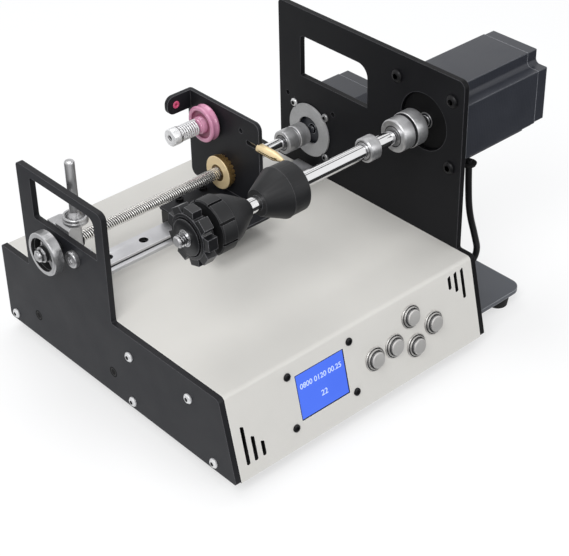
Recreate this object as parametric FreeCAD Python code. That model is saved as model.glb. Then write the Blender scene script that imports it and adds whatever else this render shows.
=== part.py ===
import FreeCAD, Part
import math
import os
from FreeCAD import Placement, Rotation, Vector

# Wire coil winding machine. Millimetres, +Z up, +X from the handwheel side to the
# motor side, -Y towards the operator. While it is built, X = 0 is the outer face of
# the left side plate, Y = 0 its front lower corner and Z = 0 the lower edge of the
# side plates. At the end everything moves so that the origin is the middle of the
# machine's box, on the table.

# ---- case and side plates ----
plate_thick = 4.0            # both side plates
inner_width = 207.0          # between the side plates
base_depth = 234.0
case_height = 57.0
front_lean = 13.0            # how far the sloping front leans back over the height
sheet_thick = 1.5            # folded cover
floor_thick = 2.0            # bottom plate
fold_radius = 3.0
low_corner_radius = 4.0      # rounded corners at the top of the sloping edge
floor_flange = 12.0          # turned-up side flange of the bottom plate
cover_tab = 20.0             # turned-down side tab of the cover
tab_front, tab_back = 30.0, 110.0

# the posts and all that they carry stand a set height above the case
left_post_front, left_post_back, left_top = 114.0, 202.0, case_height + 77.0
left_post_radius = 5.0
left_win_front, left_win_back = 122.5, 188.0
left_win_low, left_win_high = case_height + 42.0, case_height + 71.2
left_win_radius = 6.0

right_post_front, right_post_back, right_top = 25.0, 194.0, case_height + 120.0
right_post_radius = 5.0
right_win_front, right_win_back = 108.5, 172.5
right_win_low, right_win_high = case_height + 70.5, case_height + 100.5
right_win_radius = 9.0
small_radius = 1.5

# ---- side screws: (y, z) on both plates ----
low_screws = [(20.0, 5.5), (98.0, 5.5), (base_depth - 8.0, 5.5)]
high_screws = [(41.0, case_height - 15.0), (98.0, case_height - 16.5)]
blind_screws = [(117.0, 17.8), (base_depth - 36.0, 18.5)]
screw_head_radius, screw_head_high = 3.3, 1.9
screw_radius = 1.5
screw_hole_gap = 0.2
screw_long = 9.0
blind_head_radius, blind_head_high = 3.2, 1.0
hex_key_radius, hex_key_deep = 1.4, 1.1

# ---- feet and outrigger ----
foot_high = 9.0
foot_top_radius, foot_low_radius = 8.0, 6.8
foot_inset_x, foot_inset_y = 30.0, 34.0
outrigger_reach = 57.0
outrigger_front, outrigger_back = 16.5, 99.5
outrigger_thick = 3.0
outrigger_leg = 18.0
outrigger_radius = 9.0
outrigger_foot_in = 15.0     # foot centre from the outer end
outrigger_foot_edge = 9.0    # foot centre from the front and back edges
leg_screw_gap = 0.3          # from the shelf to the heads of the two screws in its leg

# ---- spindle axis and its motor (57 mm square) ----
spindle_y, spindle_z = 58.0, case_height + 80.8
spindle_motor_side = 57.0
spindle_motor_notch = 9.5
spindle_motor_pitch = 47.14
spindle_motor_long = 80.0
spindle_flange_thick = 5.0
spindle_cap_thick = 9.0
spindle_pilot_radius, spindle_pilot_high = 19.05, 1.6
spindle_bore_gap = 0.6
motor_screw_radius, motor_screw_head, motor_screw_head_high = 2.5, 4.2, 2.4
shaft_radius, stub_radius = 4.7, 4.0    # the left end is threaded
motor_shaft_radius = 4.0
clamp_gap = 0.02             # pieces held on a shaft by a set screw
run_gap = 0.05               # pieces that turn or slide on a shaft
clearance = 0.3              # between pieces that pass each other

# ---- spindle pieces, from the left end of the shaft to the right ----
stub_end_x = 11.5
star_front_x, star_boss_high, star_thick = 18.3, 1.6, 8.6
star_boss_radius, star_radius, star_valley_radius, star_lobes = 11.8, 18.7, 14.2, 9
star_lobe_share, star_first_lobe = 0.5, 2.0    # share of the pitch, angle in degrees
star_hub_radius, star_hub_high = 10.5, 4.1
star_bush_radius, star_bush_flange, star_bush_flange_high = 5.0, 5.3, 0.6
clamp_ring_radius, clamp_ring_long = 17.2, 10.7
clamp_ring_step = 1.2        # from the ring down to the cone
clamp_grooves, clamp_groove_wide, clamp_groove_deep, clamp_first_groove = 8, 1.5, 1.0, 13.0
clamp_nose_radius, clamp_nose_long = 6.0, 20.9
cone_gap = 7.8               # bare shaft between the two cones at rest
stop_cone_small, stop_cone_large = 9.1, 16.4
stop_cone_taper, stop_cone_rim = 15.6, 13.1
stop_cone_wall, stop_cone_hub = 3.0, 9.0
stop_cone_pocket = 16.0
stop_cone_screw_radius, stop_cone_screw_in = 1.6, 5.5
motor_shaft_in = 20.0        # how far the shaft runs into the motor past its flange
collar_gap_right = 44.0      # from the right plate to the collar's right face
collar_long, collar_radius, collar_chamfer = 9.0, 8.0, 0.8
coupler_gap_right = 7.3      # from the right plate to the coupler
coupler_half_long, coupler_disc_thick = 9.4, 1.2
coupler_left_radius, coupler_right_radius, coupler_disc_radius = 11.0, 11.9, 10.2

# ---- lead screw axis and its motor (42 mm square) ----
screw_y, screw_z = 163.5, case_height + 32.0
traverse_motor_side = 42.3
traverse_motor_chamfer = 4.5
traverse_motor_pitch = 31.0
traverse_motor_long = 48.0
traverse_cap_thick = 9.0
traverse_pilot_radius, traverse_pilot_high = 11.0, 2.0
traverse_bore_gap = 0.5
traverse_screw_radius, traverse_screw_head, traverse_screw_head_high = 1.5, 2.9, 1.8
slot_below = 16.0            # the upper screw slots run this far down
ring_outer_radius, ring_inner_radius, ring_thick = 19.4, 10.0, 1.6
spare_hole_radius, spare_hole_half_pitch, spare_hole_up = 1.7, 22.4, 20.5
screw_radius_thread = 4.0
screw_journal_radius = 3.0
screw_plain_long = 26.0      # bright unthreaded length at the motor end
traverse_shaft_radius = 2.5
traverse_coupler_gap_right = 6.4
traverse_coupler_half, traverse_coupler_split = 9.3, 1.4
traverse_coupler_left, traverse_coupler_right = 8.3, 8.1

# ---- bearing block, handwheel and spool post ----
block_long, block_low, block_high = 11.0, 11.0, 15.0   # along X, below and above the axis
block_front, block_rear = 7.0, 16.0    # from the axis
block_shelf_behind, block_shelf_high = 7.0, 11.0    # the rear of the block is lower
block_bevel = 2.5
block_corner = 3.0
block_bolt_behind, plate_bolt_before = 13.0, 17.0    # bolts in the block and in the plate alone
bolt_nut_radius, bolt_nut_high = 4.6, 4.0
bolt_head_radius, bolt_head_high, bolt_radius = 5.6, 3.6, 2.5
bolt_in_block = 8.0          # thread in the block
bearing_outer, bearing_thick = 6.0, 5.0
bearing_boss = 0.6
plate_screw_hole = 4.6       # hole for the lead screw in the left plate
wheel_radius, wheel_thick, wheel_rim = 14.3, 7.2, 3.0
wheel_gap = 5.5              # from the plate to the back of the rim
wheel_hub_radius, wheel_web_thick = 5.2, 2.4
wheel_hub_clear = 0.6        # from the hub to the plate
wheel_windows, wheel_spoke = 3, 4.2
wheel_nut_radius, wheel_nut_high, wheel_stub = 4.4, 2.6, 1.3
post_x_in, post_y_off = 8.5, 3.0
post_radius, post_long = 3.2, 38.1
post_foot_radius, post_foot_high, post_foot_groove = 8.1, 4.8, 0.4
post_dish_radius, post_dish_deep = 6.5, 1.6
post_cone_radius, post_cone_high = 5.3, 3.6
post_stub_radius, post_stub_long = 2.0, 4.5

# ---- rail and carriage ----
rail_width, rail_high, rail_groove = 15.0, 8.0, 1.6
rail_inset_left, rail_inset_right = 3.0, 5.0
rail_first_hole, rail_pitch = 31.4, 28.5
rail_bore_radius, rail_bore_deep = 3.1, 4.6
rail_screw_head, rail_screw_head_high = 2.8, 3.0
block_rail_gap = 0.3
slide_block_width, slide_block_long, slide_block_rise = 28.0, 40.0, 3.2
slide_block_high = 14.0      # rail seat to top of block
slide_cap_thick = 3.0
bracket_thick = 3.0
bracket_left_x, bracket_plate_x = 88.0, 134.0
bracket_front, bracket_back = 118.0, 178.0
bracket_plate_front, bracket_plate_back, bracket_top = 128.0, 199.0, case_height + 79.0
bracket_bend = 2.0
bracket_corner = 5.0
tab_reach, tab_low, tab_corner = 22.5, 13.0, 5.5
eyelet_from_end, eyelet_radius, eyelet_bore = 7.0, 2.6, 1.1
eyelet_lip = 0.6
bracket_hole_y, bracket_hole_z, bracket_hole_radius = 145.5, bracket_top - 10.5, 1.8
guide_slot_front, guide_slot_back, guide_slot_z, guide_slot_half = 130.5, 140.5, bracket_top - 16.5, 1.6
block_screw_half_x, block_screw_half_y = 10.0, 10.0
block_screw_head, block_screw_head_high = 2.75, 2.0

# ---- lead screw nut ----
nut_flange_radius, nut_flange_thick = 11.8, 3.2
nut_ring_radius, nut_ring_valley, nut_teeth = 10.9, 9.8, 20
nut_body_radius, nut_body_long = 5.1, 10.0

# ---- wire guide ----
guide_radius, guide_tip_radius = 3.2, 1.0
guide_front, guide_straddle = 106.5, 1.3       # front tip; how far it grips over the plate
guide_tip = 8.0
guide_z = bracket_top - 16.7
guide_slit, guide_slit_deep = 0.7, 1.0
guide_tongue_long, guide_tongue_thick, guide_tongue_half = 13.0, 1.8, 1.4

# ---- wire tensioner ----
tension_y, tension_z = 176.0, bracket_top - 15.0
tension_post_radius = 2.0
tension_back_nut_radius, tension_back_nut_high = 3.8, 3.0
tension_collar_radius = 4.0
tension_wheel_radius, tension_wheel_thick, tension_wheel_gap = 12.6, 7.0, 2.0
tension_wheel_rim, tension_wheel_hub, tension_wheel_web = 1.8, 5.8, 2.4
tension_hub_out = 3.0
tension_groove = 0.8
tension_spring_long, tension_spring_radius, tension_spring_wire, tension_coils = 14.8, 5.4, 1.0, 9
tension_washer_radius, tension_washer_thick = 5.7, 0.8
tension_nut_radius, tension_nut_long = 5.9, 6.0

# ---- display, buttons and vents on the sloping front: x from the left plate's outer
# face, t up the slope ----
display_x, display_t = 75.6, 31.2
display_wide, display_tall = 39.6, 31.0
display_play = 0.15
display_board_wide, display_board_tall, display_board_thick = 58.0, 43.0, 1.6
display_screw_wide, display_screw_tall = 50.4, 35.2
display_spacer, display_spacer_radius = 3.0, 2.8
display_recess = 0.3
button_places = [(119.0, 28.0), (136.2, 28.9), (154.2, 20.8), (153.0, 42.0), (171.4, 29.2)]
button_flange_radius, button_flange_high = 7.9, 1.0
button_step_radius, button_step_high = 6.8, 1.1
button_barrel_radius, button_barrel_long = 6.0, 12.0
button_bore_radius = 5.7
button_cap_radius, button_cap_out, button_cap_in = 5.3, 4.2, 5.0
button_cap_gap_in = 3.0      # free travel behind the cap
button_nut_radius, button_nut_high = 7.7, 2.0
vent_half = 1.35
left_vents = [(11.7, 8.8, 34.0), (17.9, 8.8, 24.6), (24.3, 8.8, 18.2)]
right_vents = [(190.0, 44.2, 52.6), (195.7, 40.2, 53.2), (201.7, 33.2, 53.4)]

# ---- back panel ----
back_fit_z = 29.0
inlet_from_left, inlet_radius, inlet_flange_radius, inlet_flange_high = 42.0, 5.5, 7.5, 1.4
inlet_bore, inlet_deep, inlet_pin = 2.9, 9.0, 1.0
switch_from_left, switch_wide, switch_tall = 72.0, 15.0, 21.0
switch_rim, switch_rim_high, switch_deep = 1.5, 1.8, 14.0
rocker_play, rocker_out, rocker_tilt = 0.35, 2.2, 8.0
inner_board = (120.0, 90.0, 1.6)
inner_board_up = 8.0
board_pillar_radius = 2.6

# ---- motor cable ----
cable_radius = 2.25
grommet_radius, grommet_flange, grommet_out = 3.8, 5.4, 2.0
cable_motor_x, cable_motor_y = 20.0, -22.0     # from the right plate, from the spindle axis
cable_case_y, cable_case_z = 37.0, 26.0
cable_route = [(20.0, -22.8, 92.0), (21.0, -24.0, 72.0), (26.0, -25.2, 54.0), (30.8, -25.8, 36.0), (18.0, -23.6, 25.0)]

left_in = plate_thick
right_in = plate_thick + inner_width
right_out = right_in + plate_thick
lean = math.degrees(math.atan2(front_lean, case_height))

parts = {}


def box(x0, x1, y0, y1, z0, z1):
    return Part.makeBox(x1 - x0, y1 - y0, z1 - z0, Vector(x0, y0, z0))


def rod_x(x0, x1, y, z, r):
    return Part.makeCylinder(r, x1 - x0, Vector(x0, y, z), Vector(1, 0, 0))


def rod_y(y0, y1, x, z, r):
    return Part.makeCylinder(r, y1 - y0, Vector(x, y0, z), Vector(0, 1, 0))


def rod_z(z0, z1, x, y, r):
    return Part.makeCylinder(r, z1 - z0, Vector(x, y, z0), Vector(0, 0, 1))


def turned(points, origin, along):
    """Revolve (distance, radius) points about the line through origin."""
    line = Vector(*along)
    side = Vector(0, 0, 1) if abs(line.z) < 0.5 else Vector(0, 1, 0)
    base = Vector(*origin)
    corners = [base + line * d + side * r for d, r in points]
    face = Part.Face(Part.makePolygon(corners + [corners[0]]))
    return face.revolve(base, line, 360)


def rounded(points, place):
    """Closed wire through (u, v, radius) corners, in the plane that place gives."""
    edges = []
    count = len(points)
    cuts = []
    for i, (u, v, r) in enumerate(points):
        here = Vector(u, v, 0)
        back = Vector(points[i - 1][0], points[i - 1][1], 0) - here
        ahead = Vector(points[(i + 1) % count][0], points[(i + 1) % count][1], 0) - here
        if r <= 0:
            cuts.append((here, None, here))
            continue
        half = back.getAngle(ahead) / 2
        reach = min(r / math.tan(half), 0.49 * back.Length, 0.49 * ahead.Length)
        size = reach * math.tan(half)
        b, a = Vector(back).normalize(), Vector(ahead).normalize()
        middle = (b + a).normalize()
        centre = here + middle * (size / math.sin(half))
        cuts.append((here + b * reach, centre - middle * size, here + a * reach))
    for i, (start, mid, end) in enumerate(cuts):
        if mid is not None:
            edges.append(Part.Arc(place(start), place(mid), place(end)).toShape())
        following = cuts[(i + 1) % count][0]
        if (following - end).Length > 1e-6:
            edges.append(Part.LineSegment(place(end), place(following)).toShape())
    return Part.Wire(edges)


def plate_x(points, x0, x1):
    """Flat piece across X with (y, z, radius) corners."""
    wire = rounded(points, lambda p: Vector(x0, p.x, p.y))
    return Part.Face(wire).extrude(Vector(x1 - x0, 0, 0))


def plate_y(points, y0, y1):
    """Flat piece across Y with (x, z, radius) corners."""
    wire = rounded(points, lambda p: Vector(p.x, y0, p.y))
    return Part.Face(wire).extrude(Vector(0, y1 - y0, 0))


def plate_z(points, z0, z1):
    """Flat piece across Z with (x, y, radius) corners."""
    wire = rounded(points, lambda p: Vector(p.x, p.y, z0))
    return Part.Face(wire).extrude(Vector(0, 0, z1 - z0))


def on_front(shape):
    """Stand a shape drawn as (x, t, out) on the sloping front."""
    stood = shape.copy()
    stood.Placement = Placement(Vector(0, 0, 0), Rotation(Vector(1, 0, 0), 90 - lean)).multiply(shape.Placement)
    return stood


def group(shapes):
    return Part.makeCompound(shapes)


def lobed(radius, valley, lobes, share, x0, x1, y, z, soft):
    """Wheel across X with flat-topped lobes and rounded valleys."""
    step = 2 * math.pi / lobes
    corners = []
    for i in range(lobes):
        for where, r in ((-share, radius), (share, radius), (1.0 - share - 0.12, valley), (-1.0 + share + 0.12, valley)):
            if where == share or where == -share:
                angle = (i + where / 2) * step
            elif where > 0:
                angle = (i + share / 2 + 0.09) * step
            else:
                angle = (i + 1 - share / 2 - 0.09) * step
            corners.append((y + r * math.cos(angle), z + r * math.sin(angle), soft))
    return plate_x(corners, x0, x1)


def hex_key(at, along, radius, deep):
    """Hexagonal pocket cut, from the head's face inwards."""
    line = Vector(*along)
    base = Vector(*at)
    flat = Part.makePolygon([Vector(radius * math.cos(k * math.pi / 3), radius * math.sin(k * math.pi / 3), 0)
                             for k in range(7)])
    prism = Part.Face(flat).extrude(Vector(0, 0, deep))
    prism.Placement = Placement(base, Rotation(Vector(0, 0, 1), line))
    return prism


# ---- side plates ----
def low_outline(front_x, back_x, top):
    return [(0, 0, small_radius), (front_lean, case_height, low_corner_radius), (front_x, case_height, small_radius),
            (front_x, top, left_post_radius if top == left_top else right_post_radius),
            (back_x, top, 2 * small_radius), (back_x, case_height, small_radius),
            (base_depth, case_height, small_radius), (base_depth, 0, 2 * small_radius)]


leg_screw_z = outrigger_thick + screw_head_radius + leg_screw_gap
left_screws = low_screws + high_screws
leg_screws = [(y, leg_screw_z) for y, z in low_screws if outrigger_front < y < outrigger_back]
right_screws = leg_screws + [(y, z) for y, z in left_screws if z > leg_screw_z or not outrigger_front < y < outrigger_back]


def side_holes(x0, x1, places):
    cuts = []
    for y, z in places:
        cuts.append(rod_x(x0, x1, y, z, screw_radius + screw_hole_gap))
    for y, z in blind_screws:
        cuts.append(rod_x(x0, x1, y, z, screw_radius + screw_hole_gap))
    return cuts


left = plate_x(low_outline(left_post_front, left_post_back, left_top), 0, plate_thick)
left_window = plate_x([(left_win_front, left_win_low, 0), (left_win_front, left_win_high, left_win_radius),
                       (left_win_back, left_win_high, small_radius), (left_win_back, left_win_low, small_radius)],
                      -1, plate_thick + 1)
left_cuts = [left_window, rod_x(-1, plate_thick + 1, screw_y, screw_z, plate_screw_hole)]
left_cuts += side_holes(-1, plate_thick + 1, left_screws)
for y in (screw_y + block_bolt_behind, screw_y - plate_bolt_before):
    left_cuts.append(rod_x(-1, plate_thick + 1, y, screw_z, bolt_radius + screw_hole_gap))
for y, z in blind_screws:
    left_cuts.append(rod_x(-1, blind_head_high + 0.1, y, z, blind_head_radius + screw_hole_gap))
parts["left_side_plate"] = left.cut(left_cuts)

right = plate_x(low_outline(right_post_front, right_post_back, right_top), right_in, right_out)
right_window = plate_x([(right_win_front, right_win_low, 0), (right_win_front, right_win_high, right_win_radius),
                        (right_win_back, right_win_high, 2 * small_radius), (right_win_back, right_win_low, 0)],
                       right_in - 1, right_out + 1)
right_cuts = [right_window,
              rod_x(right_in - 1, right_out + 1, spindle_y, spindle_z, spindle_pilot_radius + spindle_bore_gap),
              rod_x(right_in - 1, right_out + 1, screw_y, screw_z, traverse_pilot_radius + traverse_bore_gap),
              rod_x(right_in - 1, right_out + 1, cable_case_y, cable_case_z, grommet_radius)]
right_cuts += side_holes(right_in - 1, right_out + 1, right_screws)
for y, z in blind_screws:
    right_cuts.append(rod_x(right_out - blind_head_high - 0.1, right_out + 1, y, z, blind_head_radius + screw_hole_gap))
half = spindle_motor_pitch / 2
for dy, dz in ((-half, -half), (half, -half), (half, half), (-half, half)):
    right_cuts.append(rod_x(right_in - 1, right_out + 1, spindle_y + dy, spindle_z + dz,
                            motor_screw_radius + screw_hole_gap))
half = traverse_motor_pitch / 2
slot_half = traverse_screw_radius + screw_hole_gap
for dy in (-half, half):
    right_cuts.append(rod_x(right_in - 1, right_out + 1, screw_y + dy, screw_z - half, slot_half))
    right_cuts.append(plate_x([(screw_y + dy - slot_half, screw_z + half - slot_below - slot_half, slot_half - 0.01),
                               (screw_y + dy + slot_half, screw_z + half - slot_below - slot_half, slot_half - 0.01),
                               (screw_y + dy + slot_half, screw_z + half + slot_half, slot_half - 0.01),
                               (screw_y + dy - slot_half, screw_z + half + slot_half, slot_half - 0.01)],
                              right_in - 1, right_out + 1))
for dy in (-spare_hole_half_pitch, spare_hole_half_pitch):
    right_cuts.append(rod_x(right_in - 1, right_out + 1, screw_y + dy, screw_z + spare_hole_up, spare_hole_radius))
parts["right_side_plate"] = right.cut(right_cuts)

# ---- folded cover: sloping front, top and back in one sheet, tabs at the sides ----
slope = front_lean / case_height
skin = sheet_thick / math.cos(math.radians(lean))
inner_top = case_height - sheet_thick
cover_profile = [(0, 0, 0), (front_lean, case_height, fold_radius), (base_depth, case_height, fold_radius),
                 (base_depth, 0, 0), (base_depth - sheet_thick, 0, 0),
                 (base_depth - sheet_thick, inner_top, fold_radius - sheet_thick),
                 (slope * inner_top + skin, inner_top, fold_radius - sheet_thick), (skin, 0, 0)]
cover = plate_x(cover_profile, left_in, right_in)
for x0 in (left_in, right_in - sheet_thick):
    cover = cover.fuse(box(x0, x0 + sheet_thick, tab_front, tab_back, inner_top - cover_tab, inner_top + 0.5))
cover = cover.removeSplitter()
front_cuts = []
window = plate_z([(display_x - display_wide / 2, display_t - display_tall / 2, small_radius / 3),
                  (display_x + display_wide / 2, display_t - display_tall / 2, small_radius / 3),
                  (display_x + display_wide / 2, display_t + display_tall / 2, small_radius / 3),
                  (display_x - display_wide / 2, display_t + display_tall / 2, small_radius / 3)],
                 -2 * sheet_thick, sheet_thick)
front_cuts.append(on_front(window))
for sx in (-1, 1):
    for st in (-1, 1):
        front_cuts.append(on_front(rod_z(-2 * sheet_thick, sheet_thick, display_x + sx * display_screw_wide / 2,
                                         display_t + st * display_screw_tall / 2, screw_radius + screw_hole_gap)))
for x, t in button_places:
    front_cuts.append(on_front(rod_z(-2 * sheet_thick, sheet_thick, x, t, button_barrel_radius + screw_hole_gap)))
for side, vents in ((1, left_vents), (-1, right_vents)):
    for x, low, high in vents:
        lean_cut = vent_half
        if side > 0:
            corners = [(x - vent_half, low, vent_half * 0.8), (x + vent_half, low, vent_half * 0.8),
                       (x + vent_half, high, vent_half * 0.4), (x - vent_half, high + lean_cut, vent_half * 0.4)]
        else:
            corners = [(x - vent_half, low, vent_half * 0.8), (x + vent_half, low, vent_half * 0.8),
                       (x + vent_half, high + lean_cut, vent_half * 0.4), (x - vent_half, high, vent_half * 0.4)]
        front_cuts.append(on_front(plate_z(corners, -2 * sheet_thick, sheet_thick)))
inlet_x = left_in + inlet_from_left
switch_x = left_in + switch_from_left
front_cuts.append(rod_y(base_depth - 2 * sheet_thick, base_depth + 1, inlet_x, back_fit_z, inlet_radius + screw_hole_gap))
front_cuts.append(box(switch_x - switch_wide / 2 + switch_rim, switch_x + switch_wide / 2 - switch_rim,
                      base_depth - 2 * sheet_thick, base_depth + 1,
                      back_fit_z - switch_tall / 2 + switch_rim, back_fit_z + switch_tall / 2 - switch_rim))
for y, z in high_screws:
    front_cuts.append(rod_x(left_in - 1, left_in + sheet_thick + 1, y, z, screw_radius + screw_hole_gap))
    front_cuts.append(rod_x(right_in - sheet_thick - 1, right_in + 1, y, z, screw_radius + screw_hole_gap))
rail_holes = []
rail_left = left_in + rail_inset_left
rail_right = right_in - rail_inset_right
x = left_in + rail_first_hole
while x < rail_right - rail_bore_radius - 1:
    rail_holes.append(x)
    x += rail_pitch
for x in rail_holes:
    front_cuts.append(rod_z(inner_top - 1, case_height + 1, x, screw_y, screw_radius + screw_hole_gap))
parts["case_cover"] = cover.cut(front_cuts)

# ---- bottom plate with turned-up side flanges ----
floor_front = skin + 0.3
floor_back = base_depth - sheet_thick - 0.3
floor = box(left_in, right_in, floor_front + slope * floor_thick, floor_back, 0, floor_thick)
flange_front = floor_front + slope * floor_flange + 2
for x0 in (left_in, right_in - floor_thick):
    floor = floor.fuse(box(x0, x0 + floor_thick, flange_front, floor_back, 0, floor_flange))
floor = floor.removeSplitter()
floor_cuts = []
for y, z in low_screws:
    floor_cuts.append(rod_x(left_in - 1, left_in + floor_thick + 1, y, z, screw_radius + screw_hole_gap))
for y, z in right_screws:
    if z < floor_flange:
        floor_cuts.append(rod_x(right_in - floor_thick - 1, right_in + 1, y, z, screw_radius + screw_hole_gap))
parts["bottom_plate"] = floor.cut(floor_cuts)

# ---- screws through the side plates ----
def cap_screw(x_face, outward, y, z, head, high, radius, long, key):
    """Domed socket screw with its head on the face at x_face."""
    rim = high * 0.45
    profile = [(0, 0), (0, head), (rim, head), (high * 0.85, head * 0.78), (high, head * 0.5), (high, 0)]
    head_solid = turned(profile, (x_face, y, z), (outward, 0, 0))
    shank = turned([(0, 0), (0, radius), (-long, radius), (-long, 0)], (x_face, y, z), (outward, 0, 0))
    screw = head_solid.fuse(shank)
    pocket = hex_key((x_face + outward * high, y, z), (-outward, 0, 0), key, high * 0.6)
    return screw.cut(pocket)


screws = []
for y, z in left_screws:
    screws.append(cap_screw(0, -1, y, z, screw_head_radius, screw_head_high, screw_radius, screw_long, hex_key_radius))
for y, z in right_screws:
    under = outrigger_thick if (y, z) in leg_screws else 0
    screws.append(cap_screw(right_out + under, 1, y, z, screw_head_radius, screw_head_high, screw_radius,
                            screw_long + under, hex_key_radius))
parts["side_plate_screws"] = group(screws)

dark_screws = []
for y, z in blind_screws:
    for x_face, outward in ((0, -1), (right_out, 1)):
        head = turned([(-blind_head_high, 0), (-blind_head_high, blind_head_radius), (0, blind_head_radius), (0, 0)],
                      (x_face, y, z), (outward, 0, 0))
        shank = turned([(-blind_head_high, 0), (-blind_head_high, screw_radius), (-screw_long, screw_radius),
                        (-screw_long, 0)], (x_face, y, z), (outward, 0, 0))
        dark_screws.append(head.fuse(shank).cut(hex_key((x_face, y, z), (-outward, 0, 0), hex_key_radius, 0.8)))
for sx in (-1, 1):
    for st in (-1, 1):
        x = display_x + sx * display_screw_wide / 2
        t = display_t + st * display_screw_tall / 2
        reach = -sheet_thick - display_spacer - display_board_thick - 1.0
        profile = [(reach, 0), (reach, screw_radius), (0, screw_radius), (0, 2.6), (0.7, 2.5), (1.2, 1.6), (1.2, 0)]
        dark_screws.append(on_front(turned(profile, (x, t, 0), (0, 0, 1)).cut(
            hex_key((x, t, 1.2), (0, 0, -1), hex_key_radius, 0.8))))
for x in rail_holes:
    seat = case_height + rail_high - rail_bore_deep
    head = turned([(0, 0), (0, rail_screw_head), (rail_screw_head_high, rail_screw_head), (rail_screw_head_high, 0)],
                  (x, screw_y, seat), (0, 0, 1))
    shank = rod_z(case_height - 4, seat, x, screw_y, screw_radius)
    dark_screws.append(head.fuse(shank).cut(hex_key((x, screw_y, seat + rail_screw_head_high), (0, 0, -1), 1.4, 1.6)))
parts["black_screws"] = group(dark_screws)

# ---- outrigger bracket under the motor, and all the rubber feet ----
reach_x = right_out + outrigger_reach
shelf = plate_z([(right_out, outrigger_front, 0), (reach_x, outrigger_front, outrigger_radius),
                 (reach_x, outrigger_back, outrigger_radius), (right_out, outrigger_back, 0)], 0, outrigger_thick)
leg = box(right_out, right_out + outrigger_thick, outrigger_front, outrigger_back, 0, outrigger_leg)
shelf = shelf.fuse(leg).removeSplitter()
leg_cuts = [rod_x(right_out - 1, right_out + outrigger_thick + 1, y, z, screw_radius + screw_hole_gap)
            for y, z in leg_screws]
parts["outrigger_bracket"] = shelf.cut(leg_cuts)


def foot(x, y):
    profile = [(-foot_high, 0), (-foot_high, foot_low_radius), (-1.0, foot_top_radius), (0, foot_top_radius), (0, 0)]
    return turned(profile, (x, y, 0), (0, 0, 1))


feet = [foot(x, y) for x in (left_in + foot_inset_x, right_in - foot_inset_x)
        for y in (foot_inset_y, base_depth - foot_inset_y)]
for y in (outrigger_front + outrigger_foot_edge, outrigger_back - outrigger_foot_edge):
    feet.append(foot(reach_x - outrigger_foot_in, y))
parts["rubber_feet"] = group(feet)

# ---- spindle motor: square flange, notched stack and cap ----
def square_x(side, corner, x0, x1, y, z):
    h = side / 2
    return plate_x([(y - h, z - h, corner), (y + h, z - h, corner), (y + h, z + h, corner), (y - h, z + h, corner)], x0, x1)


def notched_x(side, notch, x0, x1, y, z):
    h, n = side / 2, side / 2 - notch
    soft = notch * 0.35
    corners = [(-h, -n, 0.6), (-n, -n, soft), (-n, -h, 0.6), (n, -h, 0.6), (n, -n, soft), (h, -n, 0.6),
               (h, n, 0.6), (n, n, soft), (n, h, 0.6), (-n, h, 0.6), (-n, n, soft), (-h, n, 0.6)]
    return plate_x([(y + u, z + v, r) for u, v, r in corners], x0, x1)


flange_end = right_out + spindle_flange_thick
cap_start = right_out + spindle_motor_long - spindle_cap_thick
motor_end = right_out + spindle_motor_long
bore = motor_shaft_radius + 1.0
motor_holes = []
half = spindle_motor_pitch / 2
for dy, dz in ((-half, -half), (half, -half), (half, half), (-half, half)):
    motor_holes.append(rod_x(right_out - 1, flange_end + 1, spindle_y + dy, spindle_z + dz,
                             motor_screw_radius + screw_hole_gap))
flange = square_x(spindle_motor_side, 3.5, right_out, flange_end, spindle_y, spindle_z)
flange = flange.fuse(rod_x(right_out - spindle_pilot_high, right_out, spindle_y, spindle_z, spindle_pilot_radius))
motor_flange = flange.cut(motor_holes + [rod_x(right_out - 9, flange_end + 1, spindle_y, spindle_z, bore)])
stack = notched_x(spindle_motor_side, spindle_motor_notch, flange_end, cap_start, spindle_y, spindle_z)
shaft_socket = rod_x(flange_end - 1, flange_end + motor_shaft_in + 1, spindle_y, spindle_z, bore)
stack = stack.cut([shaft_socket, rod_z(spindle_z - spindle_motor_side, spindle_z - spindle_motor_side / 2 + 3,
                                       right_in + cable_motor_x, spindle_y + cable_motor_y, grommet_radius)])
parts["spindle_motor_stack"] = stack
parts["spindle_motor_ends"] = group([motor_flange, notched_x(spindle_motor_side - 0.8, spindle_motor_notch, cap_start,
                                                             motor_end, spindle_y, spindle_z)])
motor_screws = []
for dy, dz in ((-half, -half), (half, -half), (half, half), (-half, half)):
    motor_screws.append(cap_screw(right_in, -1, spindle_y + dy, spindle_z + dz, motor_screw_head,
                                  motor_screw_head_high, motor_screw_radius, plate_thick + spindle_flange_thick, 2.0))

# ---- traverse motor ----
t_cap_start = right_out + traverse_motor_long - traverse_cap_thick
t_end = right_out + traverse_motor_long
h, c = traverse_motor_side / 2, traverse_motor_chamfer
octagon = [(-h + c, -h), (h - c, -h), (h, -h + c), (h, h - c), (h - c, h), (-h + c, h), (-h, h - c), (-h, -h + c)]
t_bore = traverse_shaft_radius + 1.0
body = plate_x([(screw_y + u, screw_z + v, 0.8) for u, v in octagon], right_out, t_cap_start)
body = body.fuse(rod_x(right_out - traverse_pilot_high, right_out, screw_y, screw_z, traverse_pilot_radius))
t_cuts = [rod_x(right_out - 9, right_out + 15, screw_y, screw_z, t_bore)]
half = traverse_motor_pitch / 2
for dy, dz in ((-half, -half), (half, -half), (half, half), (-half, half)):
    t_cuts.append(rod_x(right_out - 1, right_out + 5, screw_y + dy, screw_z + dz, traverse_screw_radius + screw_hole_gap))
parts["traverse_motor_body"] = body.cut(t_cuts)
parts["traverse_motor_cap"] = plate_x([(screw_y + u * 0.985, screw_z + v * 0.985, 0.8) for u, v in octagon],
                                      t_cap_start, t_end)
for dy, dz in ((-half, -half), (half, -half), (half, half), (-half, half)):
    motor_screws.append(cap_screw(right_in, -1, screw_y + dy, screw_z + dz, traverse_screw_head,
                                  traverse_screw_head_high, traverse_screw_radius, plate_thick + 4.5, hex_key_radius))
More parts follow.
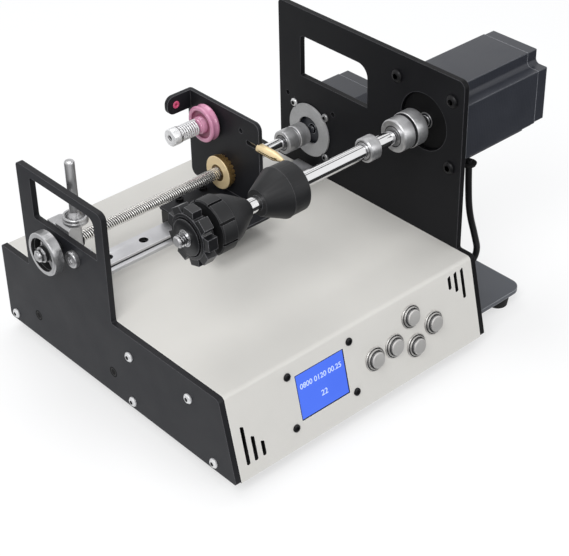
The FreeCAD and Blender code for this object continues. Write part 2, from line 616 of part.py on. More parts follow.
parts["motor_screws"] = group(motor_screws)
ring = turned([(0, ring_inner_radius), (0, ring_outer_radius), (-ring_thick, ring_outer_radius),
               (-ring_thick, ring_inner_radius)], (right_in, screw_y, screw_z), (1, 0, 0))
ring_cuts = [rod_x(right_in - 9, right_in + 1, screw_y + dy, screw_z + dz, traverse_screw_head + 0.3)
             for dy, dz in ((-half, -half), (half, -half), (half, half), (-half, half))]
parts["screw_hole_ring"] = ring.cut(ring_cuts)

# ---- bearing block with the lead screw's bearing, its bolts and the spool post ----
block_right = left_in + block_long
block_top = screw_z + block_high
block = plate_z([(left_in, screw_y - block_front, 0), (block_right, screw_y - block_front, block_corner),
                 (block_right, screw_y + block_rear, block_corner), (left_in, screw_y + block_rear, 0)],
                screw_z - block_low, block_top)
block = block.cut(box(left_in - 1, block_right + 1, screw_y + block_shelf_behind, screw_y + block_rear + 1,
                      screw_z + block_shelf_high, block_top + 1))
bevel = Part.Face(Part.makePolygon([Vector(left_in + dx, screw_y - block_front - 1, block_top + dz) for dx, dz in
                                    ((-0.1, -block_bevel - 0.1), (-0.1, 0.1), (block_bevel + 0.1, 0.1),
                                     (-0.1, -block_bevel - 0.1))]))
block = block.cut(bevel.extrude(Vector(0, block_front + block_shelf_behind + 2, 0)))
post_x, post_y = left_in + post_x_in, screw_y - post_y_off
block_cuts = [rod_x(left_in - 1, block_right + 1, screw_y, screw_z, screw_journal_radius + 1.0),
              rod_x(block_right - bearing_thick, block_right + 1, screw_y, screw_z, bearing_outer + clamp_gap),
              rod_z(block_top - post_stub_long - 0.3, block_top + 1, post_x, post_y, post_stub_radius + clamp_gap)]
block_cuts.append(rod_x(left_in - 1, left_in + bolt_in_block + 2, screw_y + block_bolt_behind, screw_z,
                        bolt_radius - 0.4 + screw_hole_gap))
parts["bearing_block"] = block.cut(block_cuts)
parts["screw_bearing"] = turned([(-bearing_thick, screw_journal_radius + run_gap), (-bearing_thick, bearing_outer),
                                 (bearing_boss, bearing_outer), (bearing_boss, screw_journal_radius + run_gap)],
                                (block_right, screw_y, screw_z), (1, 0, 0))
bolts = []
for y in (screw_y + block_bolt_behind, screw_y - plate_bolt_before):
    head = turned([(0, 0), (0, bolt_head_radius), (bolt_head_high - 0.7, bolt_head_radius),
                   (bolt_head_high, bolt_head_radius - 0.7), (bolt_head_high, 0)], (0, y, screw_z), (-1, 0, 0))
    shank = rod_x(0, left_in + bolt_in_block, y, screw_z, bolt_radius - 0.4)
    bolt = head.fuse(shank)
    if y < screw_y:    # a nut on the inner face of the plate holds this one
        nut_at = [(y + bolt_nut_radius * math.cos(k * math.pi / 3), screw_z + bolt_nut_radius * math.sin(k * math.pi / 3), 0.3)
                  for k in range(6)]
        bolt = bolt.fuse(plate_x(nut_at, left_in, left_in + bolt_nut_high))
    bolts.append(bolt.cut(hex_key((-bolt_head_high, y, screw_z), (1, 0, 0), 2.4, 1.6)))
parts["block_bolts"] = group(bolts)
groove_at, dish_floor = post_foot_high * 0.4, post_foot_high - post_dish_deep
post = [(-post_stub_long, 0), (-post_stub_long, post_stub_radius), (0, post_stub_radius), (0, post_foot_radius),
        (groove_at, post_foot_radius), (groove_at + post_foot_groove, post_foot_radius - post_foot_groove),
        (groove_at + 2 * post_foot_groove, post_foot_radius), (post_foot_high - 0.5, post_foot_radius),
        (post_foot_high, post_foot_radius - 0.5), (post_foot_high, post_dish_radius), (dish_floor, post_dish_radius - 0.3),
        (dish_floor, post_cone_radius), (dish_floor + post_cone_high, post_radius + 0.3),
        (dish_floor + post_cone_high + 0.9, post_radius)]
post_top = post_foot_high + post_long
post += [(post_top - 1.2, post_radius), (post_top - 0.35, post_radius - 0.45), (post_top, post_radius - 1.3), (post_top, 0)]
parts["spool_post"] = turned(post, (post_x, post_y, block_top), (0, 0, 1))

# ---- lead screw, handwheel and coupler ----
wheel_back = -wheel_gap
wheel_face = wheel_back - wheel_thick
screw_left = wheel_face - wheel_nut_high - wheel_stub
thread_start = block_right + bearing_boss + 0.3
coupler_end = right_in - traverse_coupler_gap_right
coupler_mid_right = coupler_end - traverse_coupler_half
coupler_mid_left = coupler_mid_right - traverse_coupler_split
coupler_start = coupler_mid_left - traverse_coupler_half
plain_start = coupler_start - screw_plain_long + traverse_coupler_half
screw_end = coupler_mid_left - 0.5
lead = turned([(screw_left, 0), (screw_left, screw_journal_radius - 0.5), (screw_left + 0.5, screw_journal_radius),
               (thread_start, screw_journal_radius), (thread_start, screw_radius_thread - 0.4),
               (thread_start + 0.4, screw_radius_thread), (screw_end, screw_radius_thread), (screw_end, 0)],
              (0, screw_y, screw_z), (1, 0, 0))
wheel_profile = [(wheel_back, wheel_radius - wheel_rim), (wheel_back, wheel_radius - 0.6), (wheel_back - 0.6, wheel_radius),
                 (wheel_face + 0.6, wheel_radius), (wheel_face, wheel_radius - 0.6), (wheel_face, wheel_radius - wheel_rim)]
rim = turned(wheel_profile, (0, screw_y, screw_z), (1, 0, 0))
web_mid = (wheel_back + wheel_face) / 2
web = rod_x(web_mid - wheel_web_thick / 2, web_mid + wheel_web_thick / 2, screw_y, screw_z, wheel_radius - wheel_rim + 0.5)
hub = rod_x(wheel_face, -wheel_hub_clear, screw_y, screw_z, wheel_hub_radius)
wheel = rim.fuse([web, hub]).removeSplitter()
window_cuts = []
inner_r, outer_r = wheel_hub_radius + 0.6, wheel_radius - wheel_rim - 0.4
for k in range(wheel_windows):
    ring_part = turned([(wheel_face - 1, inner_r), (wheel_face - 1, outer_r), (-wheel_hub_clear - 0.5, outer_r),
                        (-wheel_hub_clear - 0.5, inner_r)], (0, screw_y, screw_z), (1, 0, 0))
    wedge_angle = math.radians(360.0 / wheel_windows)
    spoke_angle = wheel_spoke / ((inner_r + outer_r) / 2)
    first = k * wedge_angle + spoke_angle / 2 + math.radians(100)
    last = (k + 1) * wedge_angle - spoke_angle / 2 + math.radians(100)
    far = 2 * wheel_radius
    middle = (first + last) / 2
    wedge = plate_x([(screw_y, screw_z, 0),
                     (screw_y + far * math.cos(first), screw_z + far * math.sin(first), 0),
                     (screw_y + far * math.cos(middle), screw_z + far * math.sin(middle), 0),
                     (screw_y + far * math.cos(last), screw_z + far * math.sin(last), 0)],
                    wheel_face - 1, -wheel_hub_clear - 0.5)
    window_cuts.append(ring_part.common(wedge))
window_cuts.append(rod_x(wheel_face - 1, 1, screw_y, screw_z, screw_journal_radius + clamp_gap))
parts["handwheel"] = wheel.cut(window_cuts)
nut_corners = [(screw_y + wheel_nut_radius * math.cos(k * math.pi / 3), screw_z + wheel_nut_radius * math.sin(k * math.pi / 3), 0.3)
               for k in range(6)]
parts["lead_screw"] = lead.fuse(plate_x(nut_corners, wheel_face - wheel_nut_high, wheel_face))
parts["screw_coupler_left"] = turned(
    [(coupler_start, screw_radius_thread + 1.2), (coupler_start, traverse_coupler_left - 0.6),
     (coupler_start + 0.6, traverse_coupler_left), (coupler_mid_left - 0.6, traverse_coupler_left),
     (coupler_mid_left, traverse_coupler_left - 0.6), (coupler_mid_left, screw_radius_thread + clamp_gap),
     (coupler_start + 1.0, screw_radius_thread + clamp_gap), (coupler_start + 1.0, screw_radius_thread + 1.2)],
    (0, screw_y, screw_z), (1, 0, 0))
disc = rod_x(coupler_mid_left, coupler_mid_right, screw_y, screw_z, traverse_coupler_right - 1.6)
parts["screw_coupler_right"] = turned(
    [(coupler_mid_right, traverse_shaft_radius + clamp_gap), (coupler_mid_right, traverse_coupler_right - 0.6),
     (coupler_mid_right + 0.6, traverse_coupler_right), (coupler_end - 0.6, traverse_coupler_right),
     (coupler_end, traverse_coupler_right - 0.6), (coupler_end, traverse_shaft_radius + clamp_gap)],
    (0, screw_y, screw_z), (1, 0, 0)).fuse(disc.cut(rod_x(coupler_mid_left - 1, coupler_mid_right + 1, screw_y, screw_z,
                                                          traverse_shaft_radius + clamp_gap))).removeSplitter()
parts["traverse_motor_shaft"] = rod_x(coupler_mid_right, right_out + 14, screw_y, screw_z, traverse_shaft_radius)

# ---- spindle ----
star_boss_x = star_front_x + star_boss_high
star_back_x = star_boss_x + star_thick
clamp_start_x = star_back_x + star_hub_high
clamp_end_x = clamp_start_x + clamp_ring_long + clamp_nose_long
stop_start_x = clamp_end_x + cone_gap
stop_end_x = stop_start_x + stop_cone_taper + stop_cone_rim
coupler_right_x = right_in - coupler_gap_right
coupler_split_right = coupler_right_x - coupler_half_long
coupler_split_left = coupler_split_right - coupler_disc_thick
coupler_left_x = coupler_split_left - coupler_half_long
collar_end_x = right_in - collar_gap_right
collar_start_x = collar_end_x - collar_long


def spin(points):
    return turned(points, (0, spindle_y, spindle_z), (1, 0, 0))


shoulder_x = clamp_start_x + 8.0    # inside the clamp cone, clear of its nut
parts["spindle_shaft"] = spin([(stub_end_x, 0), (stub_end_x, stub_radius - 0.8), (stub_end_x + 0.8, stub_radius),
                               (shoulder_x, stub_radius), (shoulder_x, shaft_radius),
                               (coupler_split_left - 0.6, shaft_radius), (coupler_split_left - 0.6, 0)])
parts["stop_collar"] = spin([(collar_start_x, shaft_radius + clamp_gap), (collar_start_x, collar_radius - collar_chamfer),
                             (collar_start_x + collar_chamfer, collar_radius), (collar_end_x - collar_chamfer, collar_radius),
                             (collar_end_x, collar_radius - collar_chamfer), (collar_end_x, shaft_radius + clamp_gap)]).cut(
    rod_y(spindle_y + shaft_radius - 1, spindle_y + collar_radius + 1, (collar_start_x + collar_end_x) / 2, spindle_z, 1.5))
lip = 0.8
coupler_half = spin(
    [(coupler_left_x, shaft_radius + 2.2), (coupler_left_x, coupler_left_radius - lip),
     (coupler_left_x + lip, coupler_left_radius), (coupler_split_left - 0.4, coupler_left_radius),
     (coupler_split_left, coupler_left_radius - 0.4), (coupler_split_left, shaft_radius + clamp_gap),
     (coupler_left_x + 1.2, shaft_radius + clamp_gap), (coupler_left_x + 1.2, shaft_radius + 2.2)])
parts["coupler_spindle_half"] = coupler_half.fuse(
    rod_x(coupler_split_left, coupler_split_right, spindle_y, spindle_z, coupler_disc_radius)).removeSplitter()
parts["coupler_motor_half"] = spin(
    [(coupler_split_right, motor_shaft_radius + clamp_gap), (coupler_split_right, coupler_right_radius - 0.4),
     (coupler_split_right + 0.4, coupler_right_radius), (coupler_right_x - lip, coupler_right_radius),
     (coupler_right_x, coupler_right_radius - lip), (coupler_right_x, motor_shaft_radius + clamp_gap)])
parts["motor_shaft"] = rod_x(coupler_split_right + 0.4, flange_end + motor_shaft_in, spindle_y, spindle_z,
                             motor_shaft_radius)

taper_x = stop_start_x + stop_cone_taper
parts["stop_cone"] = spin(
    [(stop_start_x, shaft_radius + run_gap), (stop_start_x, stop_cone_small - 0.7), (stop_start_x + 0.7, stop_cone_small),
     (taper_x, stop_cone_large), (taper_x + 0.8, stop_cone_large - 0.35), (stop_end_x - 0.8, stop_cone_large - 0.5),
     (stop_end_x, stop_cone_large - 1.3), (stop_end_x, stop_cone_large - stop_cone_wall),
     (stop_end_x - stop_cone_pocket + 4, stop_cone_large - stop_cone_wall - 1.0),
     (stop_end_x - stop_cone_pocket, stop_cone_hub), (stop_end_x - 1.0, stop_cone_hub),
     (stop_end_x - 1.0, shaft_radius + run_gap)]).cut(
    rod_y(spindle_y, spindle_y + 2 * stop_cone_large, stop_end_x - stop_cone_screw_in, spindle_z, stop_cone_screw_radius))

# ring with grooves, then a rounded cone down to the shaft
ring_end_x = clamp_start_x + clamp_ring_long
cone_foot = clamp_ring_radius - clamp_ring_step
nose_fall = cone_foot - clamp_nose_radius
nose = [(clamp_start_x, shaft_radius + run_gap), (clamp_start_x, clamp_ring_radius - 0.8),
        (clamp_start_x + 0.8, clamp_ring_radius), (ring_end_x - 0.5, clamp_ring_radius),
        (ring_end_x, clamp_ring_radius - 0.5), (ring_end_x, cone_foot)]
for along, down in ((0.15, 0.05), (0.30, 0.15), (0.48, 0.35), (0.67, 0.59), (0.84, 0.82), (0.95, 0.95)):
    nose.append((ring_end_x + along * clamp_nose_long, cone_foot - down * nose_fall))
nose += [(clamp_end_x, clamp_nose_radius - 0.6), (clamp_end_x, shaft_radius + run_gap)]
grooves = []
for k in range(clamp_grooves):
    groove = box(clamp_start_x - 1, ring_end_x + 1, spindle_y - clamp_groove_wide / 2, spindle_y + clamp_groove_wide / 2,
                 spindle_z + clamp_ring_radius - clamp_groove_deep, spindle_z + clamp_ring_radius + 1)
    groove.rotate(Vector(0, spindle_y, spindle_z), Vector(1, 0, 0), clamp_first_groove + k * 360.0 / clamp_grooves)
    grooves.append(groove)
parts["clamp_cone"] = spin(nose).cut(grooves)

star_body = lobed(star_radius, star_valley_radius, star_lobes, star_lobe_share, star_boss_x, star_back_x,
                  spindle_y, spindle_z, 1.4)
star_body.rotate(Vector(0, spindle_y, spindle_z), Vector(1, 0, 0), star_first_lobe)
star_face = spin([(star_front_x, star_bush_radius + clamp_gap), (star_front_x, star_boss_radius - 0.8),
                  (star_front_x + 0.8, star_boss_radius), (star_boss_x + 1, star_boss_radius),
                  (star_boss_x + 1, star_bush_radius + clamp_gap)])
star_hub = rod_x(star_back_x - 1, clamp_start_x - clearance, spindle_y, spindle_z, star_hub_radius)
star = star_body.cut(rod_x(star_boss_x - 1, star_back_x + 1, spindle_y, spindle_z, star_bush_radius + clamp_gap))
star_hub = star_hub.cut(rod_x(star_back_x - 2, clamp_start_x + 1, spindle_y, spindle_z, star_bush_radius + clamp_gap))
parts["star_nut"] = star.fuse([star_face, star_hub]).removeSplitter()
parts["star_nut_bush"] = spin(
    [(star_front_x - star_bush_flange_high, stub_radius + run_gap), (star_front_x - star_bush_flange_high, star_bush_flange),
     (star_front_x, star_bush_flange), (star_front_x, star_bush_radius), (clamp_start_x - clearance, star_bush_radius),
     (clamp_start_x - clearance, stub_radius + run_gap)])

# ---- linear rail and the slide block ----
rail_top = case_height + rail_high
w = rail_width / 2
g = rail_groove
rail = plate_x([(screw_y - w, case_height, 0), (screw_y + w, case_height, 0), (screw_y + w, case_height + 2.4, 0),
                (screw_y + w - g, case_height + 3.6, 0), (screw_y + w - g, rail_top - 3.0, 0),
                (screw_y + w, rail_top - 1.8, 0), (screw_y + w, rail_top - 0.3, 0), (screw_y + w - 0.3, rail_top, 0),
                (screw_y - w + 0.3, rail_top, 0), (screw_y - w, rail_top - 0.3, 0), (screw_y - w, rail_top - 1.8, 0),
                (screw_y - w + g, rail_top - 3.0, 0), (screw_y - w + g, case_height + 3.6, 0),
                (screw_y - w, case_height + 2.4, 0)], rail_left, rail_right)
rail_cuts = []
for x in rail_holes:
    rail_cuts.append(rod_z(rail_top - rail_bore_deep, rail_top + 1, x, screw_y, rail_bore_radius))
    rail_cuts.append(rod_z(case_height - 1, rail_top + 1, x, screw_y, screw_radius + screw_hole_gap))
parts["linear_rail"] = rail.cut(rail_cuts)

block_centre_x = (bracket_left_x + bracket_plate_x + bracket_thick) / 2
slide_x0, slide_x1 = block_centre_x - slide_block_long / 2, block_centre_x + slide_block_long / 2
slide_top = case_height + slide_block_high
bw = slide_block_width / 2
gap = block_rail_gap
tunnel = [(screw_y - bw, case_height + slide_block_rise, 0.8), (screw_y - w - gap, case_height + slide_block_rise, 0),
          (screw_y - w - gap, rail_top + gap, 0), (screw_y + w + gap, rail_top + gap, 0),
          (screw_y + w + gap, case_height + slide_block_rise, 0), (screw_y + bw, case_height + slide_block_rise, 0.8),
          (screw_y + bw, slide_top, 1.0), (screw_y - bw, slide_top, 1.0)]
slide = plate_x(tunnel, slide_x0, slide_x1)
groove_keys = []
for side in (-1, 1):
    edge = screw_y + side * (w + gap)
    inner = screw_y + side * (w - g + gap + 0.15)
    groove_keys.append(plate_x([(edge + side * 0.5, case_height + 4.0, 0), (inner, case_height + 4.4, 0),
                                (inner, rail_top - 3.6, 0), (edge + side * 0.5, rail_top - 3.2, 0)], slide_x0, slide_x1))
slide = slide.fuse(groove_keys).removeSplitter()
block_screw_places = [(block_centre_x + sx * block_screw_half_x, screw_y + sy * block_screw_half_y)
                      for sx in (-1, 1) for sy in (-1, 1)]
slide_cuts = [rod_z(slide_top - 3.0, slide_top + 1, x, y, screw_radius + screw_hole_gap) for x, y in block_screw_places]
parts["slide_block"] = slide.cut(slide_cuts)
ends = []
for x0 in (slide_x0 - slide_cap_thick, slide_x1):
    shrink = 0.5
    cap = plate_x([(screw_y - bw + shrink, case_height + slide_block_rise + 0.3, 1.0),
                   (screw_y - w - 0.5, case_height + slide_block_rise + 0.3, 0), (screw_y - w - 0.5, rail_top + 0.5, 0),
                   (screw_y + w + 0.5, rail_top + 0.5, 0), (screw_y + w + 0.5, case_height + slide_block_rise + 0.3, 0),
                   (screw_y + bw - shrink, case_height + slide_block_rise + 0.3, 1.0),
                   (screw_y + bw - shrink, slide_top - 0.4, 1.0), (screw_y - bw + shrink, slide_top - 0.4, 1.0)],
                  x0, x0 + slide_cap_thick)
    ends.append(cap)
parts["slide_block_caps"] = group(ends)

# ---- carriage bracket: flange, upright plate and eyelet tab bent from one sheet ----
bt = bracket_thick
flange_top = slide_top + bt
plate_right = bracket_plate_x + bt
base_sheet = plate_z([(bracket_left_x, bracket_front, 2.0), (plate_right, bracket_front, bracket_corner),
                      (plate_right, bracket_back, 2.0), (bracket_left_x, bracket_back, 2.0)], slide_top, flange_top)
upright = plate_x([(bracket_plate_front, slide_top, 0), (bracket_plate_front, bracket_top, bracket_corner),
                   (bracket_plate_back, bracket_top, 0), (bracket_plate_back, slide_top, bracket_corner)],
                  bracket_plate_x, plate_right)
tab_y0 = bracket_plate_back - bt
tab = plate_y([(plate_right - tab_reach, bracket_top - tab_low, tab_corner), (plate_right, bracket_top - tab_low, 0),
               (plate_right, bracket_top, 0), (plate_right - tab_reach, bracket_top, tab_corner)],
              tab_y0, bracket_plate_back)
bracket = base_sheet.fuse([upright, tab]).removeSplitter()
corner_edges = [e for e in bracket.Edges
                if len(e.Vertexes) == 2 and abs(e.Vertexes[0].Point.z - e.Vertexes[1].Point.z) > tab_low - 0.5
                and all(abs(vx.Point.x - plate_right) < 1e-3 and abs(vx.Point.y - bracket_plate_back) < 1e-3
                        for vx in e.Vertexes)]
if corner_edges:
    bracket = bracket.makeFillet(bracket_bend, corner_edges)
eye_x = plate_right - tab_reach + eyelet_from_end
eye_z = bracket_top - tab_low / 2
nut_left_x = bracket_plate_x - nut_flange_thick * 2
slot = plate_x([(guide_slot_front, guide_slot_z - guide_slot_half, guide_slot_half - 0.01),
                (guide_slot_back, guide_slot_z - guide_slot_half, guide_slot_half - 0.01),
                (guide_slot_back, guide_slot_z + guide_slot_half, guide_slot_half - 0.01),
                (guide_slot_front, guide_slot_z + guide_slot_half, guide_slot_half - 0.01)],
               bracket_plate_x - 1, plate_right + 1)
bracket_cuts = [slot,
                rod_x(bracket_plate_x - 1, plate_right + 1, bracket_hole_y, bracket_hole_z, bracket_hole_radius),
                rod_x(bracket_plate_x - 1, plate_right + 1, screw_y, screw_z, nut_body_radius + clamp_gap),
                rod_x(bracket_plate_x - 1, plate_right + 1, tension_y, tension_z, tension_post_radius + clamp_gap),
                rod_y(tab_y0 - 1, bracket_plate_back + 1, eye_x, eye_z, eyelet_radius - eyelet_lip + clamp_gap)]
for x, y in block_screw_places:
    bracket_cuts.append(rod_z(slide_top - 1, flange_top + 1, x, y, screw_radius + screw_hole_gap))
parts["carriage_bracket"] = bracket.cut(bracket_cuts)
holding = []
for x, y in block_screw_places:
    profile = [(-bt - 2.5, 0), (-bt - 2.5, screw_radius), (0, screw_radius), (0, block_screw_head),
               (block_screw_head_high, block_screw_head), (block_screw_head_high, 0)]
    holding.append(turned(profile, (x, y, flange_top), (0, 0, 1)).cut(
        hex_key((x, y, flange_top + block_screw_head_high), (0, 0, -1), 1.4, 1.2)))
parts["carriage_screws"] = group(holding)
core = eyelet_radius - eyelet_lip
parts["eyelet"] = turned([(-eyelet_lip, eyelet_bore), (-eyelet_lip, eyelet_radius), (0, eyelet_radius), (0, core),
                          (bt, core), (bt, eyelet_radius), (bt + eyelet_lip, eyelet_radius),
                          (bt + eyelet_lip, eyelet_bore)], (eye_x, tab_y0, eye_z), (0, 1, 0))

# ---- lead screw nut: flange, toothed collar and body through the upright ----
nut_ring_x = nut_left_x + nut_flange_thick
nut_bore = screw_radius_thread + run_gap
nut_disc = turned([(nut_left_x, nut_bore + 1.6), (nut_left_x, nut_flange_radius - 0.5), (nut_left_x + 0.5, nut_flange_radius),
                   (nut_ring_x, nut_flange_radius), (nut_ring_x, nut_bore), (nut_left_x + 0.9, nut_bore),
                   (nut_left_x + 0.9, nut_bore + 1.6)], (0, screw_y, screw_z), (1, 0, 0))
nut_gear = lobed(nut_ring_radius, nut_ring_valley, nut_teeth, 0.5, nut_ring_x, bracket_plate_x, screw_y, screw_z, 0)
nut_body = rod_x(nut_ring_x, plate_right + nut_body_long, screw_y, screw_z, nut_body_radius)
nut_hole = rod_x(nut_ring_x - 0.01, plate_right + nut_body_long + 1, screw_y, screw_z, nut_bore)
parts["lead_nut"] = nut_disc.fuse([nut_gear.fuse(nut_body).cut(nut_hole)]).removeSplitter()

# ---- wire guide: brass finger along -Y that grips the upright's front edge ----
guide_x = bracket_plate_x + bt / 2
guide_back = bracket_plate_front + guide_straddle
finger = turned([(guide_front, 0), (guide_front, guide_tip_radius), (guide_front + guide_tip, guide_radius),
                 (guide_back, guide_radius), (guide_back, 0)], (guide_x, 0, guide_z), (0, 1, 0))
tongue = box(plate_right, plate_right + guide_tongue_thick, bracket_plate_front - 2.5,
             bracket_plate_front + guide_tongue_long, guide_z - guide_tongue_half, guide_z + guide_tongue_half)
finger = finger.fuse(tongue)
finger = finger.cut([box(bracket_plate_x, plate_right, bracket_plate_front, bracket_plate_back,
                         guide_z - 9, guide_z + 9),
                     box(guide_x - 9, guide_x - guide_radius + guide_slit_deep, guide_front + guide_tip * 0.45,
                         guide_back - 2.2, guide_z - guide_slit / 2, guide_z + guide_slit / 2)])
parts["wire_guide"] = finger.removeSplitter()

# ---- wire tensioner: stud, pink wheel, spring, washer and adjusting nut ----
def on_tension(points):
    return turned(points, (0, tension_y, tension_z), (1, 0, 0))


wheel_right_x = bracket_plate_x - tension_wheel_gap
wheel_left_x = wheel_right_x - tension_wheel_thick
hub_left_x = wheel_left_x - tension_hub_out
spring_right_x = hub_left_x - clearance
spring_left_x = spring_right_x - tension_spring_long
washer_right_x = spring_left_x - 0.1
washer_left_x = washer_right_x - tension_washer_thick
tension_nut_right_x = washer_left_x - clearance
tension_nut_left_x = tension_nut_right_x - tension_nut_long
tr = tension_post_radius
parts["tension_stud"] = on_tension(
    [(tension_nut_left_x + 1.4, 0), (tension_nut_left_x + 1.4, tr - 0.4), (tension_nut_left_x + 1.8, tr),
     (wheel_right_x + clearance, tr), (wheel_right_x + clearance, tension_collar_radius),
     (bracket_plate_x, tension_collar_radius), (bracket_plate_x, tr), (plate_right, tr),
     (plate_right, tension_back_nut_radius), (plate_right + tension_back_nut_high, tension_back_nut_radius),
     (plate_right + tension_back_nut_high, tr), (plate_right + tension_back_nut_high + 1.5, tr),
     (plate_right + tension_back_nut_high + 1.5, 0)])
wr, wm = tension_wheel_radius, (wheel_left_x + wheel_right_x) / 2
parts["tension_wheel"] = on_tension(
    [(hub_left_x, tr + run_gap), (hub_left_x, tension_wheel_hub - 1.0), (hub_left_x + 1.4, tension_wheel_hub - 1.0),
     (hub_left_x + 1.4, tension_wheel_hub), (wheel_left_x + 1.5, tension_wheel_hub),
     (wheel_right_x - tension_wheel_web, tension_wheel_hub + 1.0),
     (wheel_right_x - tension_wheel_web, wr - tension_wheel_rim - 2.4),
     (wheel_left_x + 1.2, wr - tension_wheel_rim - 0.4), (wheel_left_x, wr - tension_wheel_rim), (wheel_left_x, wr - 0.4),
     (wheel_left_x + 0.5, wr), (wheel_left_x + 1.2, wr - 0.3), (wm, wr - tension_groove), (wheel_right_x - 1.2, wr - 0.3),
     (wheel_right_x - 0.5, wr), (wheel_right_x, wr - 0.5), (wheel_right_x, tr + run_gap)])
spring = []
coil_pitch = tension_spring_long / tension_coils
for k in range(tension_coils):
    left_edge = spring_left_x + k * coil_pitch
    spring += [(left_edge, tension_spring_radius - tension_spring_wire * 0.6),
               (left_edge + coil_pitch * 0.5, tension_spring_radius)]
spring.append((spring_right_x, tension_spring_radius - tension_spring_wire * 0.6))
spring += [(spring_right_x, tension_spring_radius - 2 * tension_spring_wire),
           (spring_left_x, tension_spring_radius - 2 * tension_spring_wire)]
parts["tension_spring"] = on_tension(spring)
parts["tension_washer"] = on_tension(
    [(washer_left_x, tr + run_gap), (washer_left_x, tension_washer_radius), (washer_right_x, tension_washer_radius),
     (washer_right_x, tr + run_gap)])
parts["tension_nut"] = on_tension(
    [(tension_nut_left_x, tr + run_gap), (tension_nut_left_x, tension_nut_radius - 0.6),
     (tension_nut_left_x + 0.6, tension_nut_radius), (tension_nut_right_x - 0.4, tension_nut_radius),
     (tension_nut_right_x, tension_nut_radius - 0.4), (tension_nut_right_x, tr + run_gap)])

# ---- display behind its window ----
dw, dt = display_wide / 2 - display_play, display_tall / 2 - display_play
board_top = -sheet_thick - display_spacer
screen = box(display_x - dw, display_x + dw, display_t - dt, display_t + dt, board_top, -display_recess)
parts["display_screen"] = on_front(screen)
board = box(display_x - display_board_wide / 2, display_x + display_board_wide / 2,
            display_t - display_board_tall / 2, display_t + display_board_tall / 2,
            board_top - display_board_thick, board_top)
display_screws = [(display_x + sx * display_screw_wide / 2, display_t + st * display_screw_tall / 2)
                  for sx in (-1, 1) for st in (-1, 1)]
display_board = on_front(board.cut([rod_z(board_top - 5, board_top + 1, x, t, screw_radius + screw_hole_gap)
                                             for x, t in display_screws]))
spacers = on_front(group([
    rod_z(board_top, -sheet_thick, x, t, display_spacer_radius).cut(
        rod_z(board_top - 1, 1, x, t, screw_radius + screw_hole_gap)) for x, t in display_screws]))

# ---- buttons: bezel with barrel, nut behind the panel, and a spring-return cap in each ----
bezels, nuts = [], []
inner_end = -button_barrel_long
floor_at = button_cap_out - button_cap_in - button_cap_gap_in - 0.5
for i, (x, t) in enumerate(button_places):
    top = button_flange_high + button_step_high
    bezel = turned([(inner_end, 0), (inner_end, button_barrel_radius), (0, button_barrel_radius),
                    (0, button_flange_radius), (button_flange_high * 0.6, button_flange_radius),
                    (button_flange_high, button_flange_radius - 0.3), (button_flange_high, button_step_radius + 0.1),
                    (top - 0.5, button_step_radius - 0.1), (top, button_step_radius - 0.6),
                    (top, button_bore_radius), (floor_at, button_bore_radius), (floor_at, 0)],
                   (x, t, 0), (0, 0, 1))
    bezels.append(on_front(bezel))
    nut = turned([(-sheet_thick - button_nut_high, button_barrel_radius + clamp_gap),
                  (-sheet_thick - button_nut_high, button_nut_radius), (-sheet_thick, button_nut_radius),
                  (-sheet_thick, button_barrel_radius + clamp_gap)], (x, t, 0), (0, 0, 1))
    nuts.append(on_front(nut))
    cap = turned([(button_cap_out - button_cap_in, 0), (button_cap_out - button_cap_in, button_cap_radius),
                  (button_cap_out - 0.6, button_cap_radius), (button_cap_out, button_cap_radius - 0.7),
                  (button_cap_out, 0)], (x, t, 0), (0, 0, 1))
    parts["button_%d" % (i + 1)] = on_front(cap)
parts["button_bezels"] = group(bezels)
parts["button_nuts"] = group(nuts)

# ---- back panel: low-voltage inlet and a rocker switch ----
inlet = turned([(-inlet_deep - 3.0, 0), (-inlet_deep - 3.0, inlet_radius), (0, inlet_radius), (0, inlet_flange_radius),
                (inlet_flange_high - 0.4, inlet_flange_radius), (inlet_flange_high, inlet_flange_radius - 0.4),
                (inlet_flange_high, inlet_bore), (-inlet_deep, inlet_bore), (-inlet_deep, inlet_pin),
                (-0.6, inlet_pin), (-0.2, inlet_pin - 0.4), (-0.2, 0)], (inlet_x, base_depth, back_fit_z), (0, 1, 0))
parts["power_inlet"] = inlet
half_w, half_h = switch_wide / 2, switch_tall / 2
housing = plate_y([(switch_x - half_w, back_fit_z - half_h, 1.0), (switch_x + half_w, back_fit_z - half_h, 1.0),
                   (switch_x + half_w, back_fit_z + half_h, 1.0), (switch_x - half_w, back_fit_z + half_h, 1.0)],
                  base_depth, base_depth + switch_rim_high)
inside = box(switch_x - half_w + switch_rim + 0.1, switch_x + half_w - switch_rim - 0.1, base_depth - switch_deep,
             base_depth + 0.1, back_fit_z - half_h + switch_rim + 0.1, back_fit_z + half_h - switch_rim - 0.1)
pocket = box(switch_x - half_w + 2.6, switch_x + half_w - 2.6, base_depth - 7.0, base_depth + 9,
             back_fit_z - half_h + 2.6, back_fit_z + half_h - 2.6)
parts["switch_housing"] = housing.fuse(inside).cut(pocket)
rx = half_w - 2.6 - rocker_play
rz = half_h - 2.6 - rocker_play - 0.2
top_y = base_depth + switch_rim_high + 0.4
rocker = plate_x([(base_depth - 2.2, back_fit_z - rz * 0.8, 0.4), (top_y + 1.1, back_fit_z - rz, 0.5),
                  (top_y - 0.6, back_fit_z, 0), (top_y + 1.1, back_fit_z + rz, 0.5),
                  (base_depth - 2.2, back_fit_z + rz * 0.8, 0.4)], switch_x - rx, switch_x + rx)
rocker.rotate(Vector(switch_x, base_depth - 1.0, back_fit_z), Vector(1, 0, 0), rocker_tilt)
parts["switch_rocker"] = rocker

